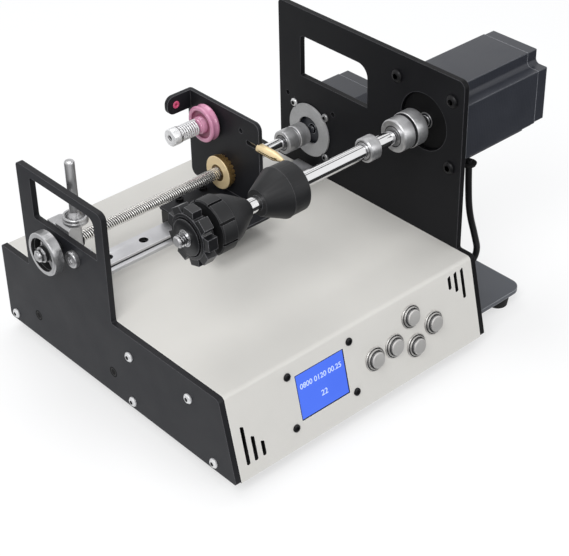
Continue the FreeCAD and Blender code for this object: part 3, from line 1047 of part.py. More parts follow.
# ---- control board inside the case, on pillars ----
board_wide, board_deep, board_thick = inner_board
bx, by = left_in + inner_width / 2, base_depth * 0.56
board_z = floor_thick + inner_board_up
pillar_places = [(bx + sx * (board_wide / 2 - 5), by + sy * (board_deep / 2 - 5)) for sx in (-1, 1) for sy in (-1, 1)]
control_board = box(bx - board_wide / 2, bx + board_wide / 2, by - board_deep / 2, by + board_deep / 2,
                    board_z, board_z + board_thick)
parts["circuit_boards"] = group([display_board, control_board])
parts["board_spacers"] = group(spacers.Solids + [rod_z(floor_thick, board_z, x, y, board_pillar_radius)
                                                 for x, y in pillar_places])

# ---- motor cable with its two grommets ----
motor_exit = Vector(right_in + cable_motor_x, spindle_y + cable_motor_y, spindle_z - spindle_motor_side / 2)
case_exit = Vector(right_out, cable_case_y, cable_case_z)
grommets = [turned([(0, cable_radius + 0.1), (0, grommet_flange), (-grommet_out, grommet_flange - 0.8),
                    (-grommet_out, cable_radius + 0.1)], motor_exit, (0, 0, 1)),
            turned([(-plate_thick, cable_radius + 0.1), (-plate_thick, grommet_radius - 0.05), (0, grommet_radius - 0.05),
                    (0, grommet_flange), (grommet_out, grommet_flange - 0.8), (grommet_out, cable_radius + 0.1)],
                   case_exit, (1, 0, 0))]
parts["cable_grommets"] = group(grommets)


def tube(points, radius):
    """Round cable along points, each corner an arc tangent to both runs."""
    runs = [points[i + 1] - points[i] for i in range(len(points) - 1)]
    edges, start, smallest = [], points[0], 1e9
    for i in range(1, len(points) - 1):
        turn = runs[i - 1].getAngle(runs[i])
        bend = 0.45 * min(runs[i - 1].Length, runs[i].Length) / math.tan(turn / 2)
        smallest = min(smallest, bend)
        reach = bend * math.tan(turn / 2)
        before, after = Vector(runs[i - 1]).normalize(), Vector(runs[i]).normalize()
        first, last = points[i] - before * reach, points[i] + after * reach
        towards = (after - before).normalize()
        centre = points[i] + towards * (bend / math.cos(turn / 2))
        edges.append(Part.LineSegment(start, first).toShape())
        edges.append(Part.Arc(first, centre - towards * bend, last).toShape())
        start = last
    edges.append(Part.LineSegment(start, points[-1]).toShape())
    path = Part.Wire(edges)
    ring = Part.Wire(Part.Circle(points[0], Vector(runs[0]).normalize(), radius).toShape())
    shape = path.makePipeShell([ring], True, False)
    print("cable: smallest bend %.1f mm, length %.1f mm, volume %.3f of section x length"
          % (smallest, path.Length, shape.Volume / (math.pi * radius ** 2 * path.Length)))
    return shape


route = [motor_exit + Vector(0, 0, 2.0)]
route += [Vector(right_in + dx, spindle_y + dy, z) for dx, dy, z in cable_route]
route += [case_exit + Vector(-plate_thick, 0, 0)]
parts["motor_cable"] = tube(route, cable_radius)

# ---- everything to the middle of the machine's box, standing on z = 0 ----
whole = Part.makeCompound([s for n, s in parts.items() if n != "motor_cable"]).optimalBoundingBox(False, False)
shift = Vector(-(whole.XMin + whole.XMax) / 2, -(whole.YMin + whole.YMax) / 2, -whole.ZMin)
print("shift %.4f %.4f %.4f  size %.2f %.2f %.2f" % (shift.x, shift.y, shift.z, whole.XLength, whole.YLength, whole.ZLength))
os.makedirs("parts", exist_ok=True)
for name, shape in parts.items():
    shape.translate(shift)
    if not shape.isValid():
        print("not valid:", name)
    shape.exportStep("parts/" + name + ".step")
    b = shape.BoundBox
    print("%-24s solids %2d  volume %10.1f  x %.2f..%.2f  y %.2f..%.2f  z %.2f..%.2f"
          % (name, len(shape.Solids), shape.Volume, b.XMin, b.XMax, b.YMin, b.YMax, b.ZMin, b.ZMax))
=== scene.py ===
import bmesh
import bpy
import math
from mathutils import Matrix, Vector


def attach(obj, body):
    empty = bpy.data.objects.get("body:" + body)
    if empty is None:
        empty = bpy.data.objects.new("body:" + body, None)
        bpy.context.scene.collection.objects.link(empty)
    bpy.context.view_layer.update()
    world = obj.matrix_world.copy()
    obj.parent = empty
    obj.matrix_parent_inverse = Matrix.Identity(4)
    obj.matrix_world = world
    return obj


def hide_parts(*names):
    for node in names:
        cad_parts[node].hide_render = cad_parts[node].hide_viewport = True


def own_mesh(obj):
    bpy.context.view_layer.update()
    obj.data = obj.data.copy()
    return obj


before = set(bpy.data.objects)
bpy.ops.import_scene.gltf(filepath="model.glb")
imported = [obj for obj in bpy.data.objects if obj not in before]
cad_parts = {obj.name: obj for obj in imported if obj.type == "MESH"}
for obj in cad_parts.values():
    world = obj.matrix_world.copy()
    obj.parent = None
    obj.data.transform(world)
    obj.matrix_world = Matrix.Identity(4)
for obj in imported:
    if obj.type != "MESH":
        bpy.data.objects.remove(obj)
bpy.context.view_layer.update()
print("frame loaded")

# lengths below are millimetres from the left plate's outer face, its front lower corner and its lower edge
corner = Vector((-139.2, -118.7574, 9.0))
spindleLine = (58.0, 137.8)  # y and z of the spindle
screwLine = (163.5, 89.0)  # of the lead screw
tensionLine = (176.0, 121.0)  # of the tensioner's stud
frontLean = math.atan2(13.0, 57.0)  # the panel goes 13 mm back over the case's height
towardX = Matrix.Rotation(math.pi / 2, 4, "Y")  # turns the Z axis to X


def spot(x, y, z):
    return (Vector((x, y, z)) + corner) / 1000


def onFront(x, t, out=0.0):  # stands a piece on the sloping panel, its X axis along the panel's outward normal
    up = Vector((0, math.sin(frontLean), math.cos(frontLean)))
    outward = Vector((0, -math.cos(frontLean), math.sin(frontLean)))
    place = Matrix((outward, up.cross(outward), up)).transposed().to_4x4()
    place.translation = spot(x, 0, 0) + up * t / 1000 + outward * out / 1000
    return place


def alongX(line, x=0.0):
    return Matrix.Translation(spot(x, *line))


# finishes
def setInputs(node, values):
    for name, value in values.items():
        node.inputs[name].default_value = value


def addNode(nodes, kind, values=None, **settings):  # settings are the node's own, values go on its inputs
    node = nodes.new("ShaderNode" + kind)
    for name, value in settings.items():
        setattr(node, name, value)
    setInputs(node, values or {})
    return node


def newLook(name):
    look = bpy.data.materials.new(name)
    look.use_nodes = True
    return look, look.node_tree.nodes, look.node_tree.links, look.node_tree.nodes["Principled BSDF"]


mixing = {"patch": 18.0, "fineShare": 0.4, "driftLow": 0.3, "driftHigh": 0.7, "glossLow": 0.25, "glossHigh": 0.75,
          "edgeFrom": 0.995, "edgeFull": 0.9, "edgeLeast": 0.6, "edgeSamples": 6, "smoothest": 0.02}


def finish(name, colour, tone=0.06, metal=0.0, rough=0.45, spread=0.08, grain=0.5, depth=0.01,
           stretch=(1, 1, 1), coat=0.0, specular=0.5, edge=None, edgeWide=0.5, edgeMost=0.6, lines=None):
    # painted, moulded or machined: colour drift, uneven gloss, fine grain and lighter edges, sizes in mm; the lighter
    # edges are partly wear and partly painted highlight along the arrises
    look, nodes, links, shader = newLook(name)
    where = addNode(nodes, "TexCoord")
    stretched = addNode(nodes, "Mapping", {"Scale": stretch})
    links.new(where.outputs["Object"], stretched.inputs["Vector"])
    broad = addNode(nodes, "TexNoise", {"Scale": 1000 / mixing["patch"], "Detail": 4})
    links.new(where.outputs["Object"], broad.inputs["Vector"])
    fine = addNode(nodes, "TexNoise", {"Scale": 1000 / grain, "Detail": 3})
    links.new(stretched.outputs["Vector"], fine.inputs["Vector"])
    both = addNode(nodes, "Mix", {0: mixing["fineShare"]})
    links.new(broad.outputs["Fac"], both.inputs[2])
    links.new(fine.outputs["Fac"], both.inputs[3])
    shade = addNode(nodes, "Mix", {6: [c * (1 - tone) for c in colour] + [1],
                                   7: [min(1, c * (1 + tone)) for c in colour] + [1]}, data_type="RGBA")
    drift = addNode(nodes, "MapRange", {"From Min": mixing["driftLow"], "From Max": mixing["driftHigh"]})
    links.new(both.outputs[0], drift.inputs["Value"])
    links.new(drift.outputs["Result"], shade.inputs[0])
    shown = shade.outputs[2]
    # painted highlight, partly wear: the edge colour is mixed in, unevenly, along the rounded edges
    if edge:
        soft = addNode(nodes, "Bevel", {"Radius": edgeWide / 1000}, samples=mixing["edgeSamples"])
        facing = addNode(nodes, "NewGeometry")
        apart = addNode(nodes, "VectorMath", operation="DOT_PRODUCT")
        links.new(soft.outputs["Normal"], apart.inputs[0])
        links.new(facing.outputs["Normal"], apart.inputs[1])
        edgeWearAndShine = addNode(nodes, "MapRange", {"From Min": mixing["edgeFrom"], "From Max": mixing["edgeFull"],
                                           "To Max": edgeMost})
        links.new(apart.outputs["Value"], edgeWearAndShine.inputs["Value"])
        uneven = addNode(nodes, "MapRange", {"To Min": mixing["edgeLeast"]})
        links.new(drift.outputs["Result"], uneven.inputs["Value"])
        unevenWearAndShine = addNode(nodes, "Math", operation="MULTIPLY")
        links.new(edgeWearAndShine.outputs["Result"], unevenWearAndShine.inputs[0])
        links.new(uneven.outputs["Result"], unevenWearAndShine.inputs[1])
        bright = addNode(nodes, "Mix", {7: list(edge) + [1]}, data_type="RGBA")
        links.new(shown, bright.inputs[6])
        links.new(unevenWearAndShine.outputs["Value"], bright.inputs[0])
        shown = bright.outputs[2]
    links.new(shown, shader.inputs["Base Color"])
    gloss = addNode(nodes, "MapRange", {"From Min": mixing["glossLow"], "From Max": mixing["glossHigh"],
                                        "To Min": max(mixing["smoothest"], rough - spread),
                                        "To Max": min(1, rough + spread)})
    links.new(both.outputs[0], gloss.inputs["Value"])
    links.new(gloss.outputs["Result"], shader.inputs["Roughness"])
    relief = addNode(nodes, "Bump", {"Distance": depth / 1000, "Strength": 1.0})
    links.new(fine.outputs["Fac"], relief.inputs["Height"])
    if lines:  # a fine stack of sheets along one axis: (axis, pitch in mm, depth in mm)
        ruled = addNode(nodes, "TexWave", {"Scale": 100 / lines[1], "Distortion": 0.0}, bands_direction=lines[0])
        links.new(where.outputs["Object"], ruled.inputs["Vector"])
        sheets = addNode(nodes, "Bump", {"Distance": lines[2] / 1000})
        links.new(ruled.outputs["Fac"], sheets.inputs["Height"])
        links.new(relief.outputs["Normal"], sheets.inputs["Normal"])
        relief = sheets
    links.new(relief.outputs["Normal"], shader.inputs["Normal"])
    setInputs(shader, {"Metallic": metal, "Coat Weight": coat, "Specular IOR Level": specular})
    return look


powder = {"rough": 0.5, "grain": 0.45, "depth": 0.018}
charcoalPaint = finish("charcoalPowderCoat", (0.019, 0.0198, 0.0235), tone=0.08, **powder, specular=0.22,
                       edge=(0.17, 0.17, 0.185), edgeWide=0.8, edgeMost=0.9)
# painted shade: the right plate's coat is a darker copy of the charcoal coat, for its inner face that sits in shade
shadedCharcoalPaint = finish("charcoalPowderCoatShaded", (0.0075, 0.0077, 0.0092), tone=0.1, **powder, specular=0.14,
                   edge=(0.11, 0.11, 0.12), edgeWide=0.8, edgeMost=0.9)
# painted shade: darker copies of the plates' coats, for their edge faces
charcoalRimShade = finish("charcoalRimShade", (0.0125, 0.0125, 0.0145), tone=0.1, **powder, specular=0.18,
                     edge=(0.06, 0.06, 0.065))
blackRimShade = finish("blackRimShade", (0.0055, 0.0055, 0.0065), tone=0.1, **powder, specular=0.12, edge=(0.16, 0.16, 0.17),
                  edgeWide=0.45, edgeMost=0.8)
bracketPaint = finish("bracketPowderCoat", (0.013, 0.0135, 0.0158), tone=0.1, **powder, specular=0.18,
                      edge=(0.15, 0.15, 0.16), edgeWide=0.8, edgeMost=0.9)
warmWhite = finish("warmWhitePowderCoat", (0.625, 0.61, 0.575), tone=0.015, rough=0.5, grain=0.6, depth=0.015,
                   edge=(0.82, 0.81, 0.78), edgeWide=0.8, edgeMost=0.8)
# painted shade for the bottom plate
seamShadeGrey = finish("seamShadeGrey", (0.1, 0.1, 0.1), tone=0.05, rough=0.6, grain=0.6, depth=0.015)
# painted shade for the inside of the case
insideShade = finish("unlitInside", (0.02, 0.02, 0.02), rough=0.8, specular=0.1)
# painted shade: near black for key sockets, holes, grooves and screws that sit in shade
recessShade = finish("recessShadeBlack", (0.004, 0.004, 0.0045), tone=0.15, rough=0.6, specular=0.12, grain=0.4)
# the motors' light edge colour is painted highlight along their arrises
motorBlack = finish("motorEnamel", (0.0235, 0.026, 0.0345), tone=0.08, rough=0.36, grain=0.7, depth=0.02,
                    specular=0.42, edge=(0.42, 0.43, 0.46), edgeWide=0.8, edgeMost=1.0)
motorStack = finish("motorLaminations", (0.0235, 0.026, 0.0345), tone=0.08, rough=0.38, grain=0.7, depth=0.02,
                    specular=0.42, edge=(0.42, 0.43, 0.46), edgeWide=0.8, edgeMost=1.0, lines=("X", 0.5, 0.02))
shelfPaint = finish("shelfPowderCoat", (0.062, 0.068, 0.082), rough=0.42, grain=0.45, depth=0.015,
                    edge=(0.4, 0.41, 0.43), edgeWide=0.8, edgeMost=0.9)
blackMoulding = finish("blackMoulding", (0.0095, 0.0097, 0.011), tone=0.1, rough=0.32, spread=0.06, grain=0.35,
                       specular=0.42, edge=(0.34, 0.34, 0.36), edgeWide=0.45, edgeMost=0.9)
coneMoulding = finish("coneMoulding", (0.0115, 0.0117, 0.0128), tone=0.1, rough=0.5, spread=0.06, grain=0.35,
                      specular=0.28, edge=(0.22, 0.22, 0.23), edgeMost=0.8)
blackPlastic = finish("blackPlastic", (0.010, 0.010, 0.011), tone=0.1, rough=0.4, grain=0.3, specular=0.35,
                      edge=(0.08, 0.08, 0.085), edgeWide=0.4, edgeMost=0.5)
rubberBlack = finish("blackRubber", (0.009, 0.009, 0.009), tone=0.15, rough=0.75, spread=0.1, grain=0.3, depth=0.02,
                     specular=0.25)
chromeBar = finish("polishedBar", (0.80, 0.80, 0.81), tone=0.03, metal=1.0, rough=0.09, spread=0.03, grain=0.25,
                   depth=0.002, stretch=(0.05, 1, 1))
brightSteel = finish("brightSteel", (0.62, 0.62, 0.63), tone=0.08, metal=1.0, rough=0.22, grain=0.3, depth=0.004,
                     edge=(0.85, 0.85, 0.85), edgeWide=0.2, edgeMost=0.4)
springSteel = finish("springSteel", (0.78, 0.78, 0.785), tone=0.08, metal=0.4, rough=0.3, grain=0.3, depth=0.006,
                     edge=(0.95, 0.95, 0.95), edgeWide=0.3, edgeMost=0.5)
threadSteel = finish("threadSteel", (0.90, 0.89, 0.87), metal=0.88, rough=0.24, spread=0.06, grain=0.3, depth=0.004)
# painted shade for thread roots
threadRootShade = finish("threadRootShade", (0.016, 0.0155, 0.015), tone=0.1, metal=0.2, rough=0.6, specular=0.2, grain=0.3)
turnedSteel = finish("turnedSteel", (0.5, 0.5, 0.508), tone=0.16, metal=0.88, rough=0.32, spread=0.1, grain=0.25,
                     depth=0.008, stretch=(1, 0.06, 0.06), edge=(0.8, 0.8, 0.81), edgeWide=0.3, edgeMost=0.5)
satinAluminium = finish("satinAluminium", (0.46, 0.46, 0.468), tone=0.3, metal=0.82, rough=0.36, spread=0.1,
                        grain=0.35, depth=0.014, stretch=(1, 0.12, 0.12), edge=(0.8, 0.8, 0.81), edgeWide=0.2,
                        edgeMost=0.35)
# painted shade for grooves, slits, window walls and hollows of metal parts
grooveShade = finish("grooveShade", (0.03, 0.03, 0.032), tone=0.2, metal=0.4, rough=0.5, grain=0.3, specular=0.3)
castAluminium = finish("machinedAluminium", (0.46, 0.46, 0.468), tone=0.14, metal=0.8, rough=0.34, spread=0.1,
                       depth=0.008, edge=(0.9, 0.9, 0.9), edgeWide=0.4, edgeMost=0.5)
groundRail = finish("groundRail", (0.63, 0.63, 0.65), tone=0.05, metal=1.0, rough=0.33, spread=0.06, grain=0.3,
                    depth=0.003, stretch=(0.05, 1, 1), edge=(0.85, 0.85, 0.88), edgeWide=0.3, edgeMost=0.4)
blackOxide = finish("blackOxide", (0.010, 0.010, 0.011), tone=0.15, metal=0.3, rough=0.4, grain=0.3, depth=0.006,
                    specular=0.25, edge=(0.04, 0.04, 0.04), edgeWide=0.25, edgeMost=0.5)
steelShade = finish("shadedSteel", (0.27, 0.27, 0.275), tone=0.16, metal=0.75, rough=0.36, grain=0.25,
                    stretch=(1, 0.1, 0.1))
# painted light and shade: a lighter brass for faces toward the light, a darker brass for sides
brassLitFace = finish("brassLitFace", (0.84, 0.66, 0.38), tone=0.1, metal=0.25, rough=0.34, grain=0.3, depth=0.008,
                   edge=(1.0, 0.92, 0.7), edgeWide=0.35, edgeMost=0.8)
brassShadedSide = finish("brassShadedSide", (0.40, 0.25, 0.09), tone=0.2, metal=0.75, rough=0.3, grain=0.3, depth=0.008,
                   edge=(0.98, 0.80, 0.48), edgeWide=0.3, edgeMost=0.8)
brassShade = finish("shadedBrass", (0.14, 0.085, 0.03), tone=0.14, metal=0.8, rough=0.42, grain=0.3)
brassMetal = finish("machinedBrass", (0.66, 0.47, 0.22), tone=0.14, metal=0.45, rough=0.28, grain=0.3, depth=0.008,
                    edge=(1.0, 0.86, 0.58), edgeWide=0.35, edgeMost=0.8)
ringGrey = finish("greyRing", (0.40, 0.40, 0.402), tone=0.3, rough=0.5, grain=0.4, depth=0.03, edge=(0.7, 0.7, 0.7),
                  edgeWide=0.3)
buttonMetal = finish("buttonBezel", (0.49, 0.48, 0.465), metal=0.75, rough=0.34, grain=0.25, depth=0.004,
                     edge=(0.9, 0.89, 0.87), edgeWide=0.35, edgeMost=0.7)
buttonFace = finish("buttonFace", (0.50, 0.49, 0.475), tone=0.05, metal=0.4, rough=0.42, grain=0.2, depth=0.006,
                    edge=(0.95, 0.94, 0.92), edgeMost=0.8)
pinkCeramic = finish("pinkCeramic", (0.62, 0.26, 0.40), tone=0.1, rough=0.24, spread=0.06, grain=0.6, depth=0.006,
                     coat=0.4, edge=(0.85, 0.62, 0.72), edgeWide=0.9)
pinkShade = finish("shadedPink", (0.27, 0.07, 0.13), tone=0.1, rough=0.35, grain=0.6, depth=0.006)
eyeletPink = finish("eyeletPink", (0.72, 0.10, 0.22), tone=0.1, rough=0.25, grain=0.4, depth=0.006, coat=0.3,
                    edge=(0.95, 0.4, 0.5), edgeWide=0.4)
boardGreen = finish("boardGreen", (0.02, 0.13, 0.06), tone=0.1, rough=0.4, grain=0.4)
print("finishes made")


# shaping helpers
def dress(piece, body, look, slotName, *nodes):
    piece.data.materials.clear()
    piece.data.materials.append(look)
    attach(piece, body)
    if nodes:
        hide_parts(*nodes)
    return piece


def soften(piece, width, angle=38, segments=3):  # rounds the sharp edges by width in mm, flats stay flat
    rounding = piece.modifiers.new("rounding", "BEVEL")
    rounding.width = width / 1000
    rounding.segments = segments
    rounding.limit_method = "ANGLE"
    rounding.angle_limit = math.radians(angle)
    rounding.harden_normals = True
    return piece


def markFaces(piece, look, wanted, corners=False):
    # a second surface for the faces that wanted(point in mm, normal) picks, by their centres or by every corner
    piece.data.materials.append(look)
    for face in piece.data.polygons:
        points = [piece.data.vertices[k].co for k in face.vertices] if corners else [face.center]
        if all(wanted(point * 1000 - corner, face.normal) for point in points):
            face.material_index = len(piece.data.materials) - 1
    return piece


def fromLine(line, at):
    return math.hypot(at.y - line[0], at.z - line[1])


def markSockets(piece, look, radius, depth=0.15):
    # paints shade into the key sockets of screws that lie along X: near each one's own axis, deeper than its ends
    shape = bmesh.new()
    shape.from_mesh(piece.data)
    screws, met = [], set()
    for vert in shape.verts:
        if vert in met:
            continue
        met.add(vert)
        part, waiting = [], [vert]
        while waiting:
            here = waiting.pop()
            part.append(here.co * 1000 - corner)
            beside = [edge.other_vert(here) for edge in here.link_edges]
            waiting += [other for other in beside if other not in met]
            met.update(beside)
        low, high = (Vector([pick(at[k] for at in part) for k in range(3)]) for pick in (min, max))
        screws.append((low, high, (low + high) / 2))
    shape.free()

    def inSocket(at, normal):
        low, high, middle = min(screws, key=lambda screw: (screw[2] - at).length)
        return fromLine((middle.y, middle.z), at) < radius and low.x + depth < at.x < high.x - depth
    markFaces(piece, look, inSocket)
    return screws


def makePiece(name, shape, place=None, sharp=38):  # the object stays at the origin, its place is in its mesh
    if place is not None:
        bmesh.ops.transform(shape, matrix=place, verts=shape.verts)
    mesh = bpy.data.meshes.new(name)
    shape.to_mesh(mesh)
    shape.free()
    for face in mesh.polygons:
        face.use_smooth = True
    mesh.set_sharp_from_angle(angle=math.radians(sharp))
    piece = bpy.data.objects.new(name, mesh)
    bpy.context.scene.collection.objects.link(piece)
    return piece


def mergeFlats(shape):
    bmesh.ops.dissolve_limit(shape, angle_limit=math.radians(0.6), verts=shape.verts, edges=shape.edges)


def copyOf(node, name, width, segments=3, keep=None):  # a solid's surface, joined up and its edges rounded
    shape = bmesh.new()
    shape.from_mesh(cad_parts[node].data)
    if keep:  # only the loose parts that keep(point in mm) picks
        gone = [vert for vert in shape.verts if not keep(vert.co * 1000 - corner)]
        bmesh.ops.delete(shape, geom=gone, context="VERTS")
    bmesh.ops.remove_doubles(shape, verts=shape.verts, dist=1e-6)
    mergeFlats(shape)
    return soften(makePiece(name, shape), width, segments=segments)


def cladding(node, name, width, body, look, slotName, segments=3):  # one solid's own surface in its finish
    return dress(copyOf(node, name, width, segments), body, look, slotName, node)


def turned(profile, steps, closed=False):  # spins (distance, radius) points in mm about the X axis
    shape = bmesh.new()
    points = [shape.verts.new((along / 1000, 0, radius / 1000)) for along, radius in profile]
    edges = [shape.edges.new(pair) for pair in zip(points, points[1:])]
    if closed:
        edges.append(shape.edges.new((points[-1], points[0])))
    bmesh.ops.spin(shape, geom=points + edges, cent=(0, 0, 0), axis=(1, 0, 0), angle=2 * math.pi, steps=steps,
                   use_merge=True)
    bmesh.ops.remove_doubles(shape, verts=shape.verts, dist=1e-7)
    bmesh.ops.recalc_face_normals(shape, faces=shape.faces)
    return shape


def turnedPiece(name, profile, steps, line, closed=False, sharp=38):
    return makePiece(name, turned(profile, steps, closed), alongX(line), sharp)


def ringProfile(left, right, inner, outer):
    return [(right, inner), (left, inner), (left, outer), (right, outer)]


def faceMarks(name, body, look, *marks, high=0.06, steps=48):
    # thin rings and discs on faces that look left: (line, face, inner, outer)
    rings, holder = bmesh.new(), bpy.data.meshes.new(name)
    for line, face, inner, outer in marks:
        ring = turned(ringProfile(face - high, face, inner, outer), steps, inner > 0)
        bmesh.ops.transform(ring, matrix=alongX(line), verts=ring.verts)
        ring.to_mesh(holder)
        ring.free()
        rings.from_mesh(holder)
    bpy.data.meshes.remove(holder)
    return dress(makePiece(name, rings), body, look, "dark_steel")


def threaded(tooth, pitch, starts, length, steps=40):
    # a right-hand thread about the X axis from 0 to length, from one tooth's (share of pitch, radius) points
    lead = pitch * starts
    count = math.ceil((length + 2 * lead) / pitch)
    shape = bmesh.new()
    points = [shape.verts.new(((-lead + (k + share) * pitch) / 1000, 0, radius / 1000))
              for k in range(count) for share, radius in tooth]
    edges = [shape.edges.new(pair) for pair in zip(points, points[1:])]
    bmesh.ops.spin(shape, geom=points + edges, cent=(0, 0, 0), axis=(1, 0, 0), dvec=(lead / steps / 1000, 0, 0),
                   angle=2 * math.pi, steps=steps)
    bmesh.ops.remove_doubles(shape, verts=shape.verts, dist=1e-6)
    for x, outwards in ((0, -1), (length, 1)):
        bmesh.ops.bisect_plane(shape, geom=shape.verts[:] + shape.edges[:] + shape.faces[:], plane_co=(x / 1000, 0, 0),
                               plane_no=(outwards, 0, 0), clear_outer=True)
    bmesh.ops.holes_fill(shape, edges=[edge for edge in shape.edges if edge.is_boundary], sides=0)
    bmesh.ops.recalc_face_normals(shape, faces=shape.faces)
    return shape


# case and plates
case = {"plateRounding": 0.45, "coverRounding": 0.3, "skin": 0.3, "foldDeep": 3.0, "back": 234.0, "top": 57.0}
for node, name, look, rimShade in (("left_side_plate", "leftPlate", charcoalPaint, charcoalRimShade),
                              ("right_side_plate", "rightPlate", shadedCharcoalPaint, blackRimShade)):
    plate = cladding(node, name, case["plateRounding"], "machine_frame", look, "plate_black")
    plate.modifiers["rounding"].harden_normals = False
    for face in plate.data.polygons:  # the broad faces are shaded flat, so that their holes leave no wedges
        face.use_smooth = abs(face.normal.x) < 0.99
    # painted shade on the plates' edge faces
    markFaces(plate, rimShade, lambda at, normal: abs(normal.x) < 0.5)


def insideCase(at, normal):  # faces behind the sheet's outer skin, with the cut edges of its openings
    behindFront = (at.y - at.z * math.tan(frontLean)) * math.cos(frontLean)
    onFold = at.z > case["top"] - case["foldDeep"] and normal.z > 0.1
    inward = at.z < case["top"] - case["skin"] and at.y < case["back"] - case["skin"]
    return behindFront > case["skin"] and inward and not onFold


cover = cladding("case_cover", "caseCover", case["coverRounding"], "machine_frame", warmWhite, "case_white")
# painted shade: the case's inner faces and the cut edges of its openings are near black
markFaces(cover, insideShade, insideCase)
# painted shade: the bottom plate's dark grey makes the dark line along the case's lower edge
for node, name, width, look, slotName in (("bottom_plate", "bottomPlate", 0.15, seamShadeGrey, "case_white"),
                                          ("outrigger_bracket", "outrigger", 0.5, shelfPaint, "plate_black"),
                                          ("rubber_feet", "rubberFeet", 0.5, rubberBlack, "rubber")):
    cladding(node, name, width, "machine_frame", look, slotName)
screw = {"rounding": 0.12, "segments": 2, "outside": -1.0, "socketReach": 1.5, "socket": 1.35, "blindDisc": 2.0,
         "blindRing": (2.75, 3.7), "blind": [(117.0, 17.8), (198.0, 18.5)]}
sideScrews = cladding("side_plate_screws", "plateScrews", screw["rounding"], "machine_frame", springSteel,
                      "bright_steel", screw["segments"])
leftHeads = [ends for ends in markSockets(sideScrews, recessShade, screw["socketReach"]) if ends[0].x < screw["outside"]]
cladding("black_screws", "blackScrews", screw["rounding"], "machine_frame", blackOxide, "dark_steel", screw["segments"])
# painted shade: dark discs in the left screw heads' sockets, and dark discs and rings at the sunk blind screws
faceMarks("plateScrewMarks", "machine_frame", recessShade,
          *[((middle.y, middle.z), low.x, 0.0, screw["socket"]) for low, high, middle in leftHeads],
          *[(line, 0.0, 0.0, screw["blindDisc"]) for line in screw["blind"]],
          *[(line, 0.0, *screw["blindRing"]) for line in screw["blind"]])
print("case and plates")

# motors
motor = {"pilotReach": 30.0, "pilotEnd": 216.0, "screwReach": 60.0, "socketReach": 1.6, "upperScrew": (179.0, 104.5),
         "upperHead": 209.2, "upperSocket": 1.5}
cladding("spindle_motor_stack", "spindleMotorStack", 0.35, "machine_frame", motorStack, "motor_black")
motorEnds = cladding("spindle_motor_ends", "spindleMotorEnds", 0.5, "machine_frame", motorBlack, "motor_black")
# painted shade: the spindle motor's pilot recess round the shaft is near black
markFaces(motorEnds, recessShade, lambda at, normal: fromLine(spindleLine, at) < motor["pilotReach"]
          and at.x < motor["pilotEnd"] and normal.x < 0.5)
shaftRing = {"face": 213.35, "inner": 4.7, "outer": 5.5, "high": 0.3, "steps": 64}
dress(turnedPiece("shaftRing", ringProfile(shaftRing["face"] - shaftRing["high"], shaftRing["face"], shaftRing["inner"],
                                           shaftRing["outer"]), shaftRing["steps"], spindleLine, True),
      "machine_frame", steelShade, "bright_steel")
cladding("traverse_motor_body", "traverseMotorBody", 0.35, "machine_frame", motorStack, "motor_black")
cladding("traverse_motor_cap", "traverseMotorCap", 0.5, "machine_frame", motorBlack, "motor_black")


def screwGroup(at):
    if fromLine(spindleLine, at) < motor["screwReach"]:
        return "spindleMotorScrews"
    return "traverseUpperScrew" if at.y > screwLine[0] and at.z > screwLine[1] else "traverseMotorScrews"


# painted highlight and shade by place: the traverse motor's upper screw in bright steel, its other screws in shaded
# steel
for name, look in (("spindleMotorScrews", blackOxide), ("traverseMotorScrews", steelShade),
                   ("traverseUpperScrew", springSteel)):
    heads = copyOf("motor_screws", name, screw["rounding"], screw["segments"], keep=lambda at: screwGroup(at) == name)
    dress(heads, "machine_frame", look, "bright_steel", "motor_screws")
    markSockets(heads, recessShade, motor["socketReach"])
cladding("screw_hole_ring", "screwHoleRing", 0.25, "machine_frame", ringGrey, "grey_plastic")
# painted shade in the upper screw's socket
faceMarks("upperScrewCentre", "machine_frame", recessShade,
          (motor["upperScrew"], motor["upperHead"], 0.0, motor["upperSocket"]))
print("motors")

# bearing block, post and handwheel
cladding("bearing_block", "bearingBlock", 0.5, "machine_frame", castAluminium, "satin_aluminium")
cladding("screw_bearing", "screwBearing", 0.2, "machine_frame", blackOxide, "dark_steel")
cladding("block_bolts", "blockBolts", 0.3, "machine_frame", turnedSteel, "bright_steel")
post = {"x": 12.5, "y": 160.5, "dish": 6.6, "dishTop": 108.6}
postPiece = cladding("spool_post", "spoolPost", 0.25, "machine_frame", turnedSteel, "bright_steel")
# painted shade in the spool post's dish
markFaces(postPiece, grooveShade, lambda at, normal: math.hypot(at.x - post["x"], at.y - post["y"]) < post["dish"]
          and at.z < post["dishTop"] and normal.z > 0.5)
handwheel = {"hub": 5.1, "rimInside": 11.4}


def onWeb(at):
    return handwheel["hub"] < fromLine(screwLine, at) < handwheel["rimInside"]


wheel = cladding("handwheel", "handwheel", 0.4, "lead_screw", turnedSteel, "bright_steel")
# painted shade: the web between hub and rim in shaded steel, and the walls of its windows near black
markFaces(wheel, steelShade, lambda at, normal: onWeb(at) and abs(normal.x) > 0.5, corners=True)
markFaces(wheel, grooveShade, lambda at, normal: onWeb(at) and abs(normal.x) < 0.5)
print("bearing block and handwheel")

# lead screw
leadScrew = {"pitch": 1.6, "starts": 5, "left": -16.6, "start": 15.9, "threadEnd": 167.9, "end": 193.4, "radius": 4.0,
             "root": 3.0, "journal": 3.0, "chamfer": 0.5, "lap": 0.2, "taper": 0.4, "rounding": 0.12,
             "groove": (184.6, 5.2, 5.8)}
tooth = ((0.0, leadScrew["root"]), (0.4, leadScrew["root"]), (0.5, leadScrew["radius"]), (0.88, leadScrew["radius"]),
         (0.98, leadScrew["root"]))
screwThread = makePiece("screwThread", threaded(tooth, leadScrew["pitch"], leadScrew["starts"],
                                                leadScrew["threadEnd"] - leadScrew["start"]),
                        alongX(screwLine, leadScrew["start"]), 30)
dress(screwThread, "lead_screw", threadSteel, "bright_steel", "lead_screw")
